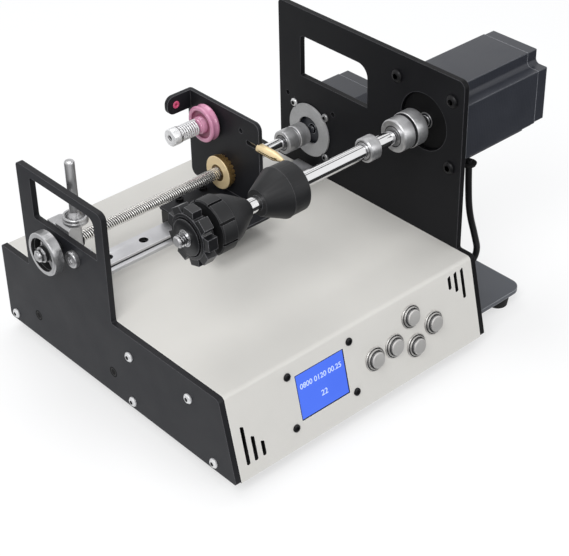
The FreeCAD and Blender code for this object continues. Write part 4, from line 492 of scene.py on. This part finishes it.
# painted shade at the thread roots
markFaces(screwThread, threadRootShade, lambda at, normal: fromLine(screwLine, at) < leadScrew["root"] + 0.1)
inThread = leadScrew["start"] + leadScrew["lap"]
journal = turnedPiece("screwJournal", [(leadScrew["left"], 0),
                                       (leadScrew["left"], leadScrew["journal"] - leadScrew["chamfer"]),
                                       (leadScrew["left"] + leadScrew["chamfer"], leadScrew["journal"]),
                                       (inThread, leadScrew["journal"]), (inThread, 0)], 48, screwLine)
dress(soften(journal, leadScrew["rounding"]), "lead_screw", turnedSteel, "bright_steel", "lead_screw")
inThread = leadScrew["threadEnd"] - leadScrew["lap"]
plain = turnedPiece("screwPlainEnd", [(inThread, 0), (inThread, leadScrew["root"]),
                                      (leadScrew["threadEnd"] + leadScrew["taper"], leadScrew["radius"]),
                                      (leadScrew["end"], leadScrew["radius"]), (leadScrew["end"], 0)], 64, screwLine)
dress(soften(plain, leadScrew["rounding"]), "lead_screw", chromeBar, "bright_steel", "lead_screw")
wheelNut = {"left": -15.3, "right": -12.7, "radius": 4.4, "rounding": 0.3}
hexagon = bmesh.new()
bmesh.ops.create_cone(hexagon, cap_ends=True, segments=6, radius1=wheelNut["radius"] / 1000,
                      radius2=wheelNut["radius"] / 1000, depth=(wheelNut["right"] - wheelNut["left"]) / 1000,
                      matrix=towardX @ Matrix.Rotation(math.pi / 6, 4, "Z"))
nutPiece = makePiece("wheelNut", hexagon, alongX(screwLine, (wheelNut["left"] + wheelNut["right"]) / 2))
dress(soften(nutPiece, wheelNut["rounding"]), "lead_screw", brightSteel, "bright_steel", "lead_screw")
for node, name in (("screw_coupler_left", "screwCouplerLeft"), ("screw_coupler_right", "screwCouplerRight")):
    cladding(node, name, 0.2, "lead_screw", satinAluminium, "satin_aluminium")
# painted shade in the groove on the screw coupler's face
faceMarks("screwCouplerGroove", "lead_screw", grooveShade, (screwLine, *leadScrew["groove"]))
cladding("traverse_motor_shaft", "traverseMotorShaft", 0.2, "lead_screw", chromeBar, "bright_steel")
print("lead screw")

# spindle
spindle = {"stub": 11.5, "tip": 1.2, "threadEnd": 40.6, "end": 192.5, "radius": 4.7, "stubRadius": 4.0, "root": 3.1,
           "pitch": 1.7, "tipRadius": 3.5, "tipChamfer": 0.7, "lap": 0.1, "rounding": 0.15,
           "grooves": [(158.0, 5.7, 6.3), (183.7, 6.4, 7.1)], "slit": (193.0, 194.4), "slitRadius": 10.7}
fineTooth = ((0.0, spindle["root"]), (0.4, spindle["root"]), (0.58, spindle["stubRadius"]),
             (0.82, spindle["stubRadius"]))
threadStart = spindle["stub"] + spindle["tip"]
stub = threaded(fineTooth, spindle["pitch"], 1, spindle["threadEnd"] - spindle["stub"] - spindle["tip"])
spindleThread = makePiece("spindleThread", stub, alongX(spindleLine, threadStart), 30)
dress(spindleThread, "spindle", brightSteel, "chromed", "spindle_shaft")
# painted shade at the thread roots
markFaces(spindleThread, threadRootShade,
          lambda at, normal: fromLine(spindleLine, at) < spindle["root"] + 0.1 and abs(normal.x) < 0.9)
inThread = threadStart + spindle["lap"]
tip = turnedPiece("spindleTip", [(spindle["stub"], 0), (spindle["stub"], spindle["tipRadius"] - spindle["tipChamfer"]),
                                 (spindle["stub"] + spindle["tipChamfer"], spindle["tipRadius"]),
                                 (inThread, spindle["tipRadius"]), (inThread, 0)], 48, spindleLine)
dress(tip, "spindle", turnedSteel, "chromed", "spindle_shaft")
bar = turnedPiece("spindleBar", [(spindle["threadEnd"], 0), (spindle["threadEnd"], spindle["radius"]),
                                 (spindle["end"], spindle["radius"]), (spindle["end"], 0)], 96, spindleLine)
dress(soften(bar, spindle["rounding"]), "spindle", chromeBar, "chromed", "spindle_shaft")
for node, name in (("stop_collar", "stopCollar"), ("coupler_spindle_half", "couplerSpindleHalf"),
                   ("coupler_motor_half", "couplerMotorHalf")):
    piece = cladding(node, name, 0.22, "spindle", satinAluminium, "satin_aluminium")
    # painted shade in the couplers' slit
    markFaces(piece, grooveShade, lambda at, normal: spindle["slit"][0] < at.x < spindle["slit"][1]
              and fromLine(spindleLine, at) < spindle["slitRadius"])
# painted shade in the grooves on the couplers' faces
faceMarks("couplerGrooves", "spindle", grooveShade, *[(spindleLine, *groove) for groove in spindle["grooves"]])
cladding("motor_shaft", "motorShaft", 0.2, "spindle", chromeBar, "bright_steel")
cladding("stop_cone", "stopCone", 0.35, "stop_cone", coneMoulding, "black_plastic")
clampRing = {"left": 32.7, "right": 43.2, "floor": 16.0, "land": 16.95}
clampCone = cladding("clamp_cone", "clampCone", 0.25, "clamp_cone", coneMoulding, "black_plastic")
# painted shade on the groove floors and walls between the clamp ring's blocks
markFaces(clampCone, recessShade, lambda at, normal: clampRing["left"] < at.x < clampRing["right"]
          and clampRing["floor"] < fromLine(spindleLine, at) < clampRing["land"] and abs(normal.x) < 0.5)

# star nut: lobes cut straight round an open bore, a raised disc in front and the hub behind
star = {"lobes": 9, "turn": 14.5, "radius": 18.6, "valley": 14.4, "crest": 11.5, "root": 17.2, "lobeFront": 20.2,
        "back": 26.9, "bore": 5.02, "boreSteps": 48, "discRadius": 14.3, "discFront": 19.6, "bossRadius": 11.4,
        "front": 18.35, "hubRadius": 10.4, "hubBack": 31.0, "lap": 0.3, "chamfer": 0.5, "rounding": 0.45, "sharp": 25}
starShape = bmesh.new()
rimPoints = []
lobeStep = 360 / star["lobes"]
lobe = ((-star["crest"], star["radius"]), (star["crest"], star["radius"]), (star["root"], star["valley"]),
        (lobeStep - star["root"], star["valley"]))
for k in range(star["lobes"]):
    for angle, radius in lobe:
        toward = math.radians(star["turn"] + k * lobeStep + angle)
        rimPoints.append(starShape.verts.new((star["lobeFront"] / 1000, math.cos(toward) * radius / 1000,
                                              math.sin(toward) * radius / 1000)))
for k in range(len(rimPoints)):
    starShape.edges.new((rimPoints[k - 1], rimPoints[k]))
bmesh.ops.create_circle(starShape, cap_ends=False, radius=star["bore"] / 1000, segments=star["boreSteps"],
                        matrix=Matrix.Translation((star["lobeFront"] / 1000, 0, 0)) @ towardX)
bmesh.ops.triangle_fill(starShape, edges=starShape.edges[:])
grown = bmesh.ops.extrude_face_region(starShape, geom=starShape.faces[:])
bmesh.ops.translate(starShape, vec=((star["back"] - star["lobeFront"]) / 1000, 0, 0),
                    verts=[part for part in grown["geom"] if isinstance(part, bmesh.types.BMVert)])
mergeFlats(starShape)
bmesh.ops.recalc_face_normals(starShape, faces=starShape.faces)
starPiece = soften(makePiece("starNutLobes", starShape, alongX(spindleLine)), star["rounding"], star["sharp"])
dress(starPiece, "clamp_nut", blackMoulding, "black_plastic", "star_nut")
discBack, discFront, bossRadius = star["lobeFront"] + star["lap"], star["discFront"], star["bossRadius"]
disc = turnedPiece("starNutDisc", [(discBack, star["bore"]), (discBack, star["discRadius"] - 0.1),
                                   (discFront + 0.3, star["discRadius"]), (discFront, star["discRadius"] - 0.4),
                                   (discFront, bossRadius + 0.9), (discFront + 0.5, bossRadius + 0.6),
                                   (discFront + 0.5, bossRadius + 0.1), (star["front"] + 0.5, bossRadius),
                                   (star["front"], bossRadius - 0.7), (star["front"], star["bore"])],
                   96, spindleLine, True)
dress(disc, "clamp_nut", blackMoulding, "black_plastic", "star_nut")
# painted shadow along the boss's edge, in the ring between the boss and the raised disc
markFaces(disc, recessShade, lambda at, normal: bossRadius < fromLine(spindleLine, at) < bossRadius + 0.85)
hubFront, hubBack = star["back"] - star["lap"], star["hubBack"]
hub = turnedPiece("starNutHub", [(hubFront, star["bore"]), (hubFront, star["hubRadius"]),
                                 (hubBack - star["chamfer"], star["hubRadius"]),
                                 (hubBack, star["hubRadius"] - star["chamfer"]), (hubBack, star["bore"])],
                  72, spindleLine, True)
dress(hub, "clamp_nut", blackMoulding, "black_plastic", "star_nut")
cladding("star_nut_bush", "starNutBush", 0.2, "clamp_nut", brightSteel, "bright_steel")
print("spindle")

# carriage
rail = {"front": 156.0, "back": 171.0, "top": 65.0, "inset": 0.3}
railPiece = cladding("linear_rail", "linearRail", 0.15, "machine_frame", groundRail, "bright_steel")
# painted shade in the rail's side grooves
markFaces(railPiece, grooveShade, lambda at, normal: rail["front"] + rail["inset"] < at.y < rail["back"] - rail["inset"]
          and at.z < rail["top"] - rail["inset"] and abs(normal.y) > 0.3 and normal.z < 0.2)
for node, name, width, look, slotName in (
        ("slide_block", "slideBlock", 0.3, groundRail, "bright_steel"),
        ("slide_block_caps", "slideBlockCaps", 0.3, blackPlastic, "black_plastic"),
        ("carriage_bracket", "carriageBracket", 0.35, bracketPaint, "plate_black")):
    cladding(node, name, width, "carriage", look, slotName)
# painted shade: the carriage screws are near black, so they show no highlights
cladding("carriage_screws", "carriageScrews", 0.15, "carriage", recessShade, "dark_steel", 2)
cladding("eyelet", "eyelet", 0.3, "carriage", eyeletPink, "pink_ceramic")
nut = {"faceEnd": 131.0, "recess": (127.6, 4.2, 5.9)}
leadNut = cladding("lead_nut", "leadNut", 0.2, "carriage", brassMetal, "brass")
# painted highlight on the nut's left face, painted shade on its sides
markFaces(leadNut, brassLitFace, lambda at, normal: at.x < nut["faceEnd"] and normal.x < -0.5)
markFaces(leadNut, brassShadedSide, lambda at, normal: abs(normal.x) < 0.5)
# painted shade in the recess round the screw
faceMarks("leadNutShade", "carriage", brassShade, (screwLine, *nut["recess"]))
slit = {"left": 132.4, "right": 134.0, "front": 110.0, "back": 124.0, "z": 119.3, "half": 0.5}
wireGuide = cladding("wire_guide", "wireGuide", 0.15, "carriage", brassMetal, "brass")
# painted highlight on the guide's top and left end, painted shade underneath and in the slit
markFaces(wireGuide, brassLitFace, lambda at, normal: normal.z > 0.1 or normal.x < -0.7)
markFaces(wireGuide, brassShade, lambda at, normal: normal.z < -0.3 or slit["left"] < at.x < slit["right"]
          and slit["front"] < at.y < slit["back"] and abs(at.z - slit["z"]) < slit["half"])
stud = cladding("tension_stud", "tensionStud", 0.15, "carriage", brightSteel, "bright_steel")
tensioner = {"studEnd": 101.4, "hubLeft": 122.0, "left": 125.0, "right": 132.0, "bore": 2.1, "hub": 5.8, "web": 127.3,
             "radius": 12.55, "rimInside": 9.4, "groove": 0.75}
# painted shade: the stud's end face is near black, as the dark hole in the nut
markFaces(stud, recessShade, lambda at, normal: at.x < tensioner["studEnd"] and normal.x < -0.5)
hubLeft, hubRadius, web, rimInside = (tensioner[key] for key in ("hubLeft", "hub", "web", "rimInside"))
rimLeft, rimRight, rimOut = tensioner["left"], tensioner["right"], tensioner["radius"]
wheelPiece = turnedPiece("tensionWheel", [
    (hubLeft, tensioner["bore"]), (hubLeft, hubRadius - 1.4), (hubLeft + 0.4, hubRadius - 1.0),
    (hubLeft + 1.4, hubRadius - 1.0), (hubLeft + 1.4, hubRadius - 0.2), (hubLeft + 1.6, hubRadius),
    (web - 0.7, hubRadius), (web, hubRadius + 0.7), (web, rimInside - 0.8), (web - 0.7, rimInside - 0.1),
    (rimLeft + 0.6, rimInside + 0.1), (rimLeft + 0.15, rimInside + 0.6), (rimLeft, rimOut - 2.2),
    (rimLeft, rimOut - 1.2), (rimLeft + 0.2, rimOut - 0.6), (rimLeft + 0.65, rimOut - 0.15), (rimLeft + 1.3, rimOut),
    (rimLeft + 2.2, rimOut - 0.35), (rimLeft + 3.5, rimOut - tensioner["groove"]), (rimRight - 2.2, rimOut - 0.35),
    (rimRight - 1.3, rimOut), (rimRight - 0.5, rimOut - 0.2), (rimRight, rimOut - 0.8),
    (rimRight, tensioner["bore"])], 96, tensionLine, True, 50)
dress(wheelPiece, "tension_wheel", pinkCeramic, "pink_ceramic", "tension_wheel")
markFaces(wheelPiece, pinkShade, lambda at, normal: hubRadius + 0.1 < fromLine(tensionLine, at) < rimInside
          and at.x < rimRight - 0.1)
cladding("tension_washer", "tensionWasher", 0.15, "tension_seat", brightSteel, "bright_steel")
cladding("tension_nut", "tensionNut", 0.25, "tension_nut", springSteel, "bright_steel")

spring = {"left": 106.9, "right": 121.7, "radius": 4.85, "wire": 0.54, "turns": 8, "stepsPerTurn": 32, "wireSteps": 10}
coil = bmesh.new()
bmesh.ops.create_circle(coil, cap_ends=False, radius=spring["wire"] / 1000, segments=spring["wireSteps"],
                        matrix=Matrix.Translation((0, 0, spring["radius"] / 1000))
                        @ Matrix.Rotation(math.pi / 2, 4, "X"))
springSteps = spring["turns"] * spring["stepsPerTurn"]
advance = (spring["right"] - spring["left"] - 2 * spring["wire"]) / springSteps / 1000
bmesh.ops.spin(coil, geom=coil.verts[:] + coil.edges[:], cent=(0, 0, 0), axis=(1, 0, 0), dvec=(advance, 0, 0),
               angle=2 * math.pi * spring["turns"], steps=springSteps)
bmesh.ops.holes_fill(coil, edges=[edge for edge in coil.edges if edge.is_boundary], sides=0)
bmesh.ops.recalc_face_normals(coil, faces=coil.faces)
springPiece = makePiece("tensionSpring", coil, alongX(tensionLine, spring["left"] + spring["wire"]), 50)
dress(springPiece, "carriage", springSteel, "bright_steel", "tension_spring")
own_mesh(springPiece)
print("carriage")

# panel and display
display = {"x": 75.6, "t": 31.2, "wide": 39.3, "tall": 30.7, "recess": 0.3, "seal": 0.75, "sealHigh": 0.04,
           "inkHigh": 0.03, "inkWider": 0.05}
screenLook, nodes, links, shader = newLook("litDisplay")
setInputs(shader, {"Base Color": (0.0, 0.01, 0.08, 1), "Roughness": 0.25, "Specular IOR Level": 0.2,
                   "Emission Strength": 1.0})
glow = addNode(nodes, "TexNoise", {"Scale": 30})
drift = addNode(nodes, "Mix", {6: (0.078, 0.165, 0.82, 1), 7: (0.098, 0.200, 0.90, 1)}, data_type="RGBA")
where = addNode(nodes, "TexCoord")
links.new(where.outputs["Object"], glow.inputs["Vector"])
links.new(glow.outputs["Fac"], drift.inputs[0])
links.new(drift.outputs[2], shader.inputs["Emission Color"])
cladding("display_screen", "displayScreen", 0.1, "machine_frame", screenLook, "display")

inkLook, nodes, links, shader = newLook("litDigits")
setInputs(shader, {"Base Color": (0.2, 0.25, 0.35, 1), "Emission Color": (0.5, 0.6, 1.0, 1), "Emission Strength": 0.85})
for name, words, size, dx, dt in (("displayRow", "0800 0120 00.25", 5.0, 0.0, 6.2),
                                  ("displayCount", "22", 5.4, 0.8, -5.4)):
    curve = bpy.data.curves.new(name, "FONT")
    curve.body = words
    curve.size = size / 1000
    curve.align_x, curve.align_y = "CENTER", "CENTER"
    curve.extrude = display["inkHigh"] / 1000
    curve.offset = display["inkWider"] / 1000
    typed = bpy.data.objects.new(name + "Curve", curve)
    bpy.context.scene.collection.objects.link(typed)
    bpy.context.view_layer.update()
    letters = bpy.data.meshes.new_from_object(typed)
    bpy.data.objects.remove(typed)
    upright = onFront(display["x"] + dx, display["t"] + dt, -display["recess"] + display["inkHigh"])
    letters.transform(upright @ Matrix(((0, 0, 1, 0), (1, 0, 0, 0), (0, 1, 0, 0), (0, 0, 0, 1))))
    sign = bpy.data.objects.new(name, letters)
    bpy.context.scene.collection.objects.link(sign)
    dress(sign, "machine_frame", inkLook, "display")

sealLook = finish("displayLine", (0.008, 0.01, 0.05), tone=0.1, rough=0.4, grain=0.3)
strip = bmesh.new()  # the dark seal round the glass
bmesh.ops.create_grid(strip, x_segments=1, y_segments=1, size=0.5,
                      matrix=towardX @ Matrix.Diagonal((display["tall"] / 1000, display["wide"] / 1000, 1, 1)))
bmesh.ops.inset_region(strip, faces=strip.faces[:], thickness=display["seal"] / 1000, use_boundary=True)
middle = min(strip.faces, key=lambda face: face.calc_center_median().length)
bmesh.ops.delete(strip, geom=[middle], context="FACES_ONLY")
bmesh.ops.solidify(strip, geom=strip.faces[:], thickness=display["sealHigh"] / 1000)
dress(makePiece("displaySeal", strip, onFront(display["x"], display["t"], -display["recess"] + 0.1)), "machine_frame",
      sealLook, "display")

# buttons
button = {"places": [(119.0, 28.0), (136.2, 28.9), (154.2, 20.8), (153.0, 42.0), (171.4, 29.2)], "inner": -12.0,
          "barrel": 6.0, "flange": 7.9, "flangeOut": 1.0, "grooveOuter": 7.25, "grooveInner": 6.85, "grooveDeep": 0.5,
          "step": 6.75, "stepOut": 2.1, "bore": 5.7, "floor": -4.3, "reach": 10.0}
bezels = bpy.data.meshes.new("bezels")
allBezels = bmesh.new()
flangeOut, stepOut, bore = button["flangeOut"], button["stepOut"], button["bore"]
for x, t in button["places"]:
    one = turned([(button["inner"], 0), (button["inner"], button["barrel"]), (0, button["barrel"]),
                  (0, button["flange"]),
                  (flangeOut - 0.35, button["flange"]), (flangeOut, button["flange"] - 0.3),
                  (flangeOut, button["grooveOuter"]), (flangeOut - button["grooveDeep"], button["grooveOuter"] - 0.05),
                  (flangeOut - button["grooveDeep"], button["grooveInner"]), (flangeOut, button["step"]),
                  (stepOut - 0.35, button["step"] - 0.05), (stepOut, button["step"] - 0.4), (stepOut, bore + 0.25),
                  (stepOut - 0.25, bore), (button["floor"], bore), (button["floor"], 0)], 64)
    bmesh.ops.transform(one, matrix=onFront(x, t), verts=one.verts)
    one.to_mesh(bezels)
    one.free()
    allBezels.from_mesh(bezels)
bpy.data.meshes.remove(bezels)
panels = [onFront(x, t).inverted() for x, t in button["places"]]


def inBezelShade(at, normal):  # painted shade in the groove round the step and in the bore round the cap
    for panel in panels:
        here = panel @ ((at + corner) / 1000) * 1000
        away = math.hypot(here.y, here.z)
        if away < button["reach"]:
            inGroove = button["step"] + 0.02 < away < button["grooveOuter"] and 0 < here.x < flangeOut - 0.1
            return inGroove or away < bore + 0.05


bezelPiece = dress(makePiece("buttonBezels", allBezels), "machine_frame", buttonMetal, "button_grey", "button_bezels")
markFaces(bezelPiece, recessShade, inBezelShade)
cladding("button_nuts", "buttonNuts", 0.2, "machine_frame", buttonMetal, "button_grey")
outward = onFront(0, 0).col[0].to_3d()
for k in range(1, len(button["places"]) + 1):
    cap = cladding("button_%d" % k, "buttonCap%d" % k, 0.2, "button_cap_%d" % k, buttonFace, "button_grey")
    markFaces(cap, steelShade, lambda at, normal: normal.dot(outward) < 0.5)
print("panel")

# back panel and inside
for node, name, width, body, look, slotName in (
        ("power_inlet", "powerInlet", 0.2, "machine_frame", blackPlastic, "black_plastic"),
        ("switch_housing", "switchHousing", 0.25, "machine_frame", blackPlastic, "black_plastic"),
        ("switch_rocker", "switchRocker", 0.3, "rocker", blackPlastic, "black_plastic"),
        ("circuit_boards", "circuitBoards", 0.1, "machine_frame", boardGreen, "board_green"),
        ("board_spacers", "boardSpacers", 0.1, "machine_frame", brassMetal, "brass"),
        ("cable_grommets", "cableGrommets", 0.3, "machine_frame", rubberBlack, "rubber")):
    cladding(node, name, width, body, look, slotName)

cable = {"radius": 2.25, "length": 0.1089,
         "route": [(231, 36, 111.3), (231, 35.2, 92), (232, 34, 72), (237, 32.8, 54), (241.8, 32.2, 36),
                   (229, 34.4, 25), (211, 37, 26)]}
line = bpy.data.curves.new("motorCable", "CURVE")
line.dimensions = "3D"
line.bevel_depth = cable["radius"] / 1000
line.bevel_resolution = 6
spline = line.splines.new("NURBS")
spline.points.add(len(cable["route"]) - 1)
for point, place in zip(spline.points, cable["route"]):
    point.co = (*spot(*place), 1)
spline.order_u = 3
spline.use_endpoint_u = True
spline.resolution_u = 24
line.use_fill_caps = True
cord = bpy.data.objects.new("motorCable", line)
bpy.context.scene.collection.objects.link(cord)
line.materials.append(finish("cableJacket", (0.009, 0.009, 0.01), tone=0.1, rough=0.4, grain=0.4, specular=0.35))
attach(cord, "machine_frame")
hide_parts("motor_cable")
print("back panel, inside and cable")

# room, lamps and camera
room = {"floorHalf": 6.0, "floorColour": (0.82, 0.82, 0.82, 1), "seenColour": (0.97, 0.97, 0.97, 1), "ownLight": 0.6,
        "skyColour": (0.95, 0.97, 1.0, 1), "sky": 0.55}


def seenRays(nodes, links):  # the camera's own rays, and those with what it sees in reflections and through glass
    rays = addNode(nodes, "LightPath")
    seen = straight = rays.outputs["Is Camera Ray"]
    for kind in ("Is Glossy Ray", "Is Transmission Ray"):
        either = addNode(nodes, "Math", operation="MAXIMUM")
        links.new(seen, either.inputs[0])
        links.new(rays.outputs[kind], either.inputs[1])
        seen = either.outputs["Value"]
    return straight, seen


floor = bmesh.new()
bmesh.ops.create_grid(floor, x_segments=1, y_segments=1, size=room["floorHalf"])
ground = makePiece("floor", floor)
groundLook, nodes, links, shader = newLook("paleFloor")
setInputs(shader, {"Roughness": 0.9, "Specular IOR Level": 0.0})
straight, seen = seenRays(nodes, links)
paper = addNode(nodes, "Mix", {6: room["floorColour"], 7: room["seenColour"]}, data_type="RGBA")
links.new(straight, paper.inputs[0])
links.new(paper.outputs[2], shader.inputs["Base Color"])
share = addNode(nodes, "Math", {1: room["ownLight"]}, operation="MULTIPLY")
links.new(seen, share.inputs[0])
white = addNode(nodes, "Emission", {"Strength": 1.0})
blend = addNode(nodes, "MixShader")
links.new(share.outputs["Value"], blend.inputs["Fac"])
links.new(shader.outputs["BSDF"], blend.inputs[1])
links.new(white.outputs["Emission"], blend.inputs[2])
links.new(blend.outputs["Shader"], nodes["Material Output"].inputs["Surface"])
ground.data.materials.append(groundLook)

world = bpy.data.worlds.new("studio")
bpy.context.scene.world = world
world.use_nodes = True
nodes, links = world.node_tree.nodes, world.node_tree.links
backdrop = nodes["Background"]
setInputs(backdrop, {"Color": room["skyColour"], "Strength": room["sky"]})
clean = addNode(nodes, "Background", {"Color": (1, 1, 1, 1), "Strength": 1.0})
straight, seen = seenRays(nodes, links)
pick = addNode(nodes, "MixShader")
links.new(seen, pick.inputs["Fac"])
links.new(backdrop.outputs["Background"], pick.inputs[1])
links.new(clean.outputs["Background"], pick.inputs[2])
links.new(pick.outputs["Shader"], nodes["World Output"].inputs["Surface"])

lamps = {"keyBox": ((-0.9, -0.5, 1.2), (0, 0, 0.06), (0.7, 0.7), 9.0),  # place, aim, size and power
         "frontBox": ((0.3, -1.3, 0.7), (0, 0, 0.05), (0.8, 0.5), 5.0),
         "topBox": ((0.1, 0.5, 1.4), (0, 0, 0.05), (0.8, 0.8), 7.0)}
for name, (place, aim, size, power) in lamps.items():
    lamp = bpy.data.lights.new(name, "AREA")
    lamp.shape = "RECTANGLE"
    lamp.size, lamp.size_y = size
    lamp.energy = power
    holder = bpy.data.objects.new(name, lamp)
    holder.location = place
    holder.rotation_euler = (Vector(aim) - Vector(place)).to_track_quat("-Z", "Y").to_euler()
    bpy.context.scene.collection.objects.link(holder)

flags = {"frontFlag": ((0.15, -0.87, 0.002), (1.6, 1.46)), "leftFlag": ((-0.95, 0.1, 0.003), (1.4, 1.2)),
         "overheadFlag": ((0.1, -0.02, 0.9), (1.2, 0.16)), "backFlag": ((0.1, 0.4, 0.9), (1.2, 0.1)),
         "farFlag": ((0.1, 1.0, 0.9), (1.2, 0.3))}
flagLook, nodes, links, shader = newLook("darkCloth")
setInputs(shader, {"Base Color": (0.03, 0.03, 0.03, 1), "Roughness": 0.9, "Specular IOR Level": 0.0})
for name, (place, size) in flags.items():  # dark cloths that only reflections see, for contrast on the metals
    cloth = bmesh.new()
    bmesh.ops.create_grid(cloth, x_segments=1, y_segments=1, size=0.5,
                          matrix=Matrix.Translation(place) @ Matrix.Diagonal((*size, 1, 1)))
    flag = makePiece(name, cloth)
    flag.data.materials.append(flagLook)
    flag.visible_camera = flag.visible_diffuse = flag.visible_shadow = flag.visible_transmission = False

view = {"place": (-0.559761, -0.6433934, 0.626249), "turn": -41.324, "height": 34.949, "roll": -1.248, "lens": 98.04,
        "sensor": 36, "nearest": 0.05}
turn, height, roll = (math.radians(view[key]) for key in ("turn", "height", "roll"))
back = Vector((math.sin(turn) * math.cos(height), -math.cos(turn) * math.cos(height), math.sin(height)))
right = Vector((0, 0, 1)).cross(back).normalized()
over = back.cross(right)
right, over = math.cos(roll) * right + math.sin(roll) * over, -math.sin(roll) * right + math.cos(roll) * over
lens = bpy.data.cameras.new("camera")
lens.lens = view["lens"]
lens.sensor_width = view["sensor"]
lens.clip_start = view["nearest"]
camera = bpy.data.objects.new("camera", lens)
stand = Matrix((right, over, back)).transposed().to_4x4()
stand.translation = view["place"]
camera.matrix_world = stand
bpy.context.scene.collection.objects.link(camera)
bpy.context.scene.camera = camera
bpy.context.scene.view_settings.view_transform = "Standard"

for name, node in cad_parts.items():
    if not node.hide_render:
        print("plain node left:", name)
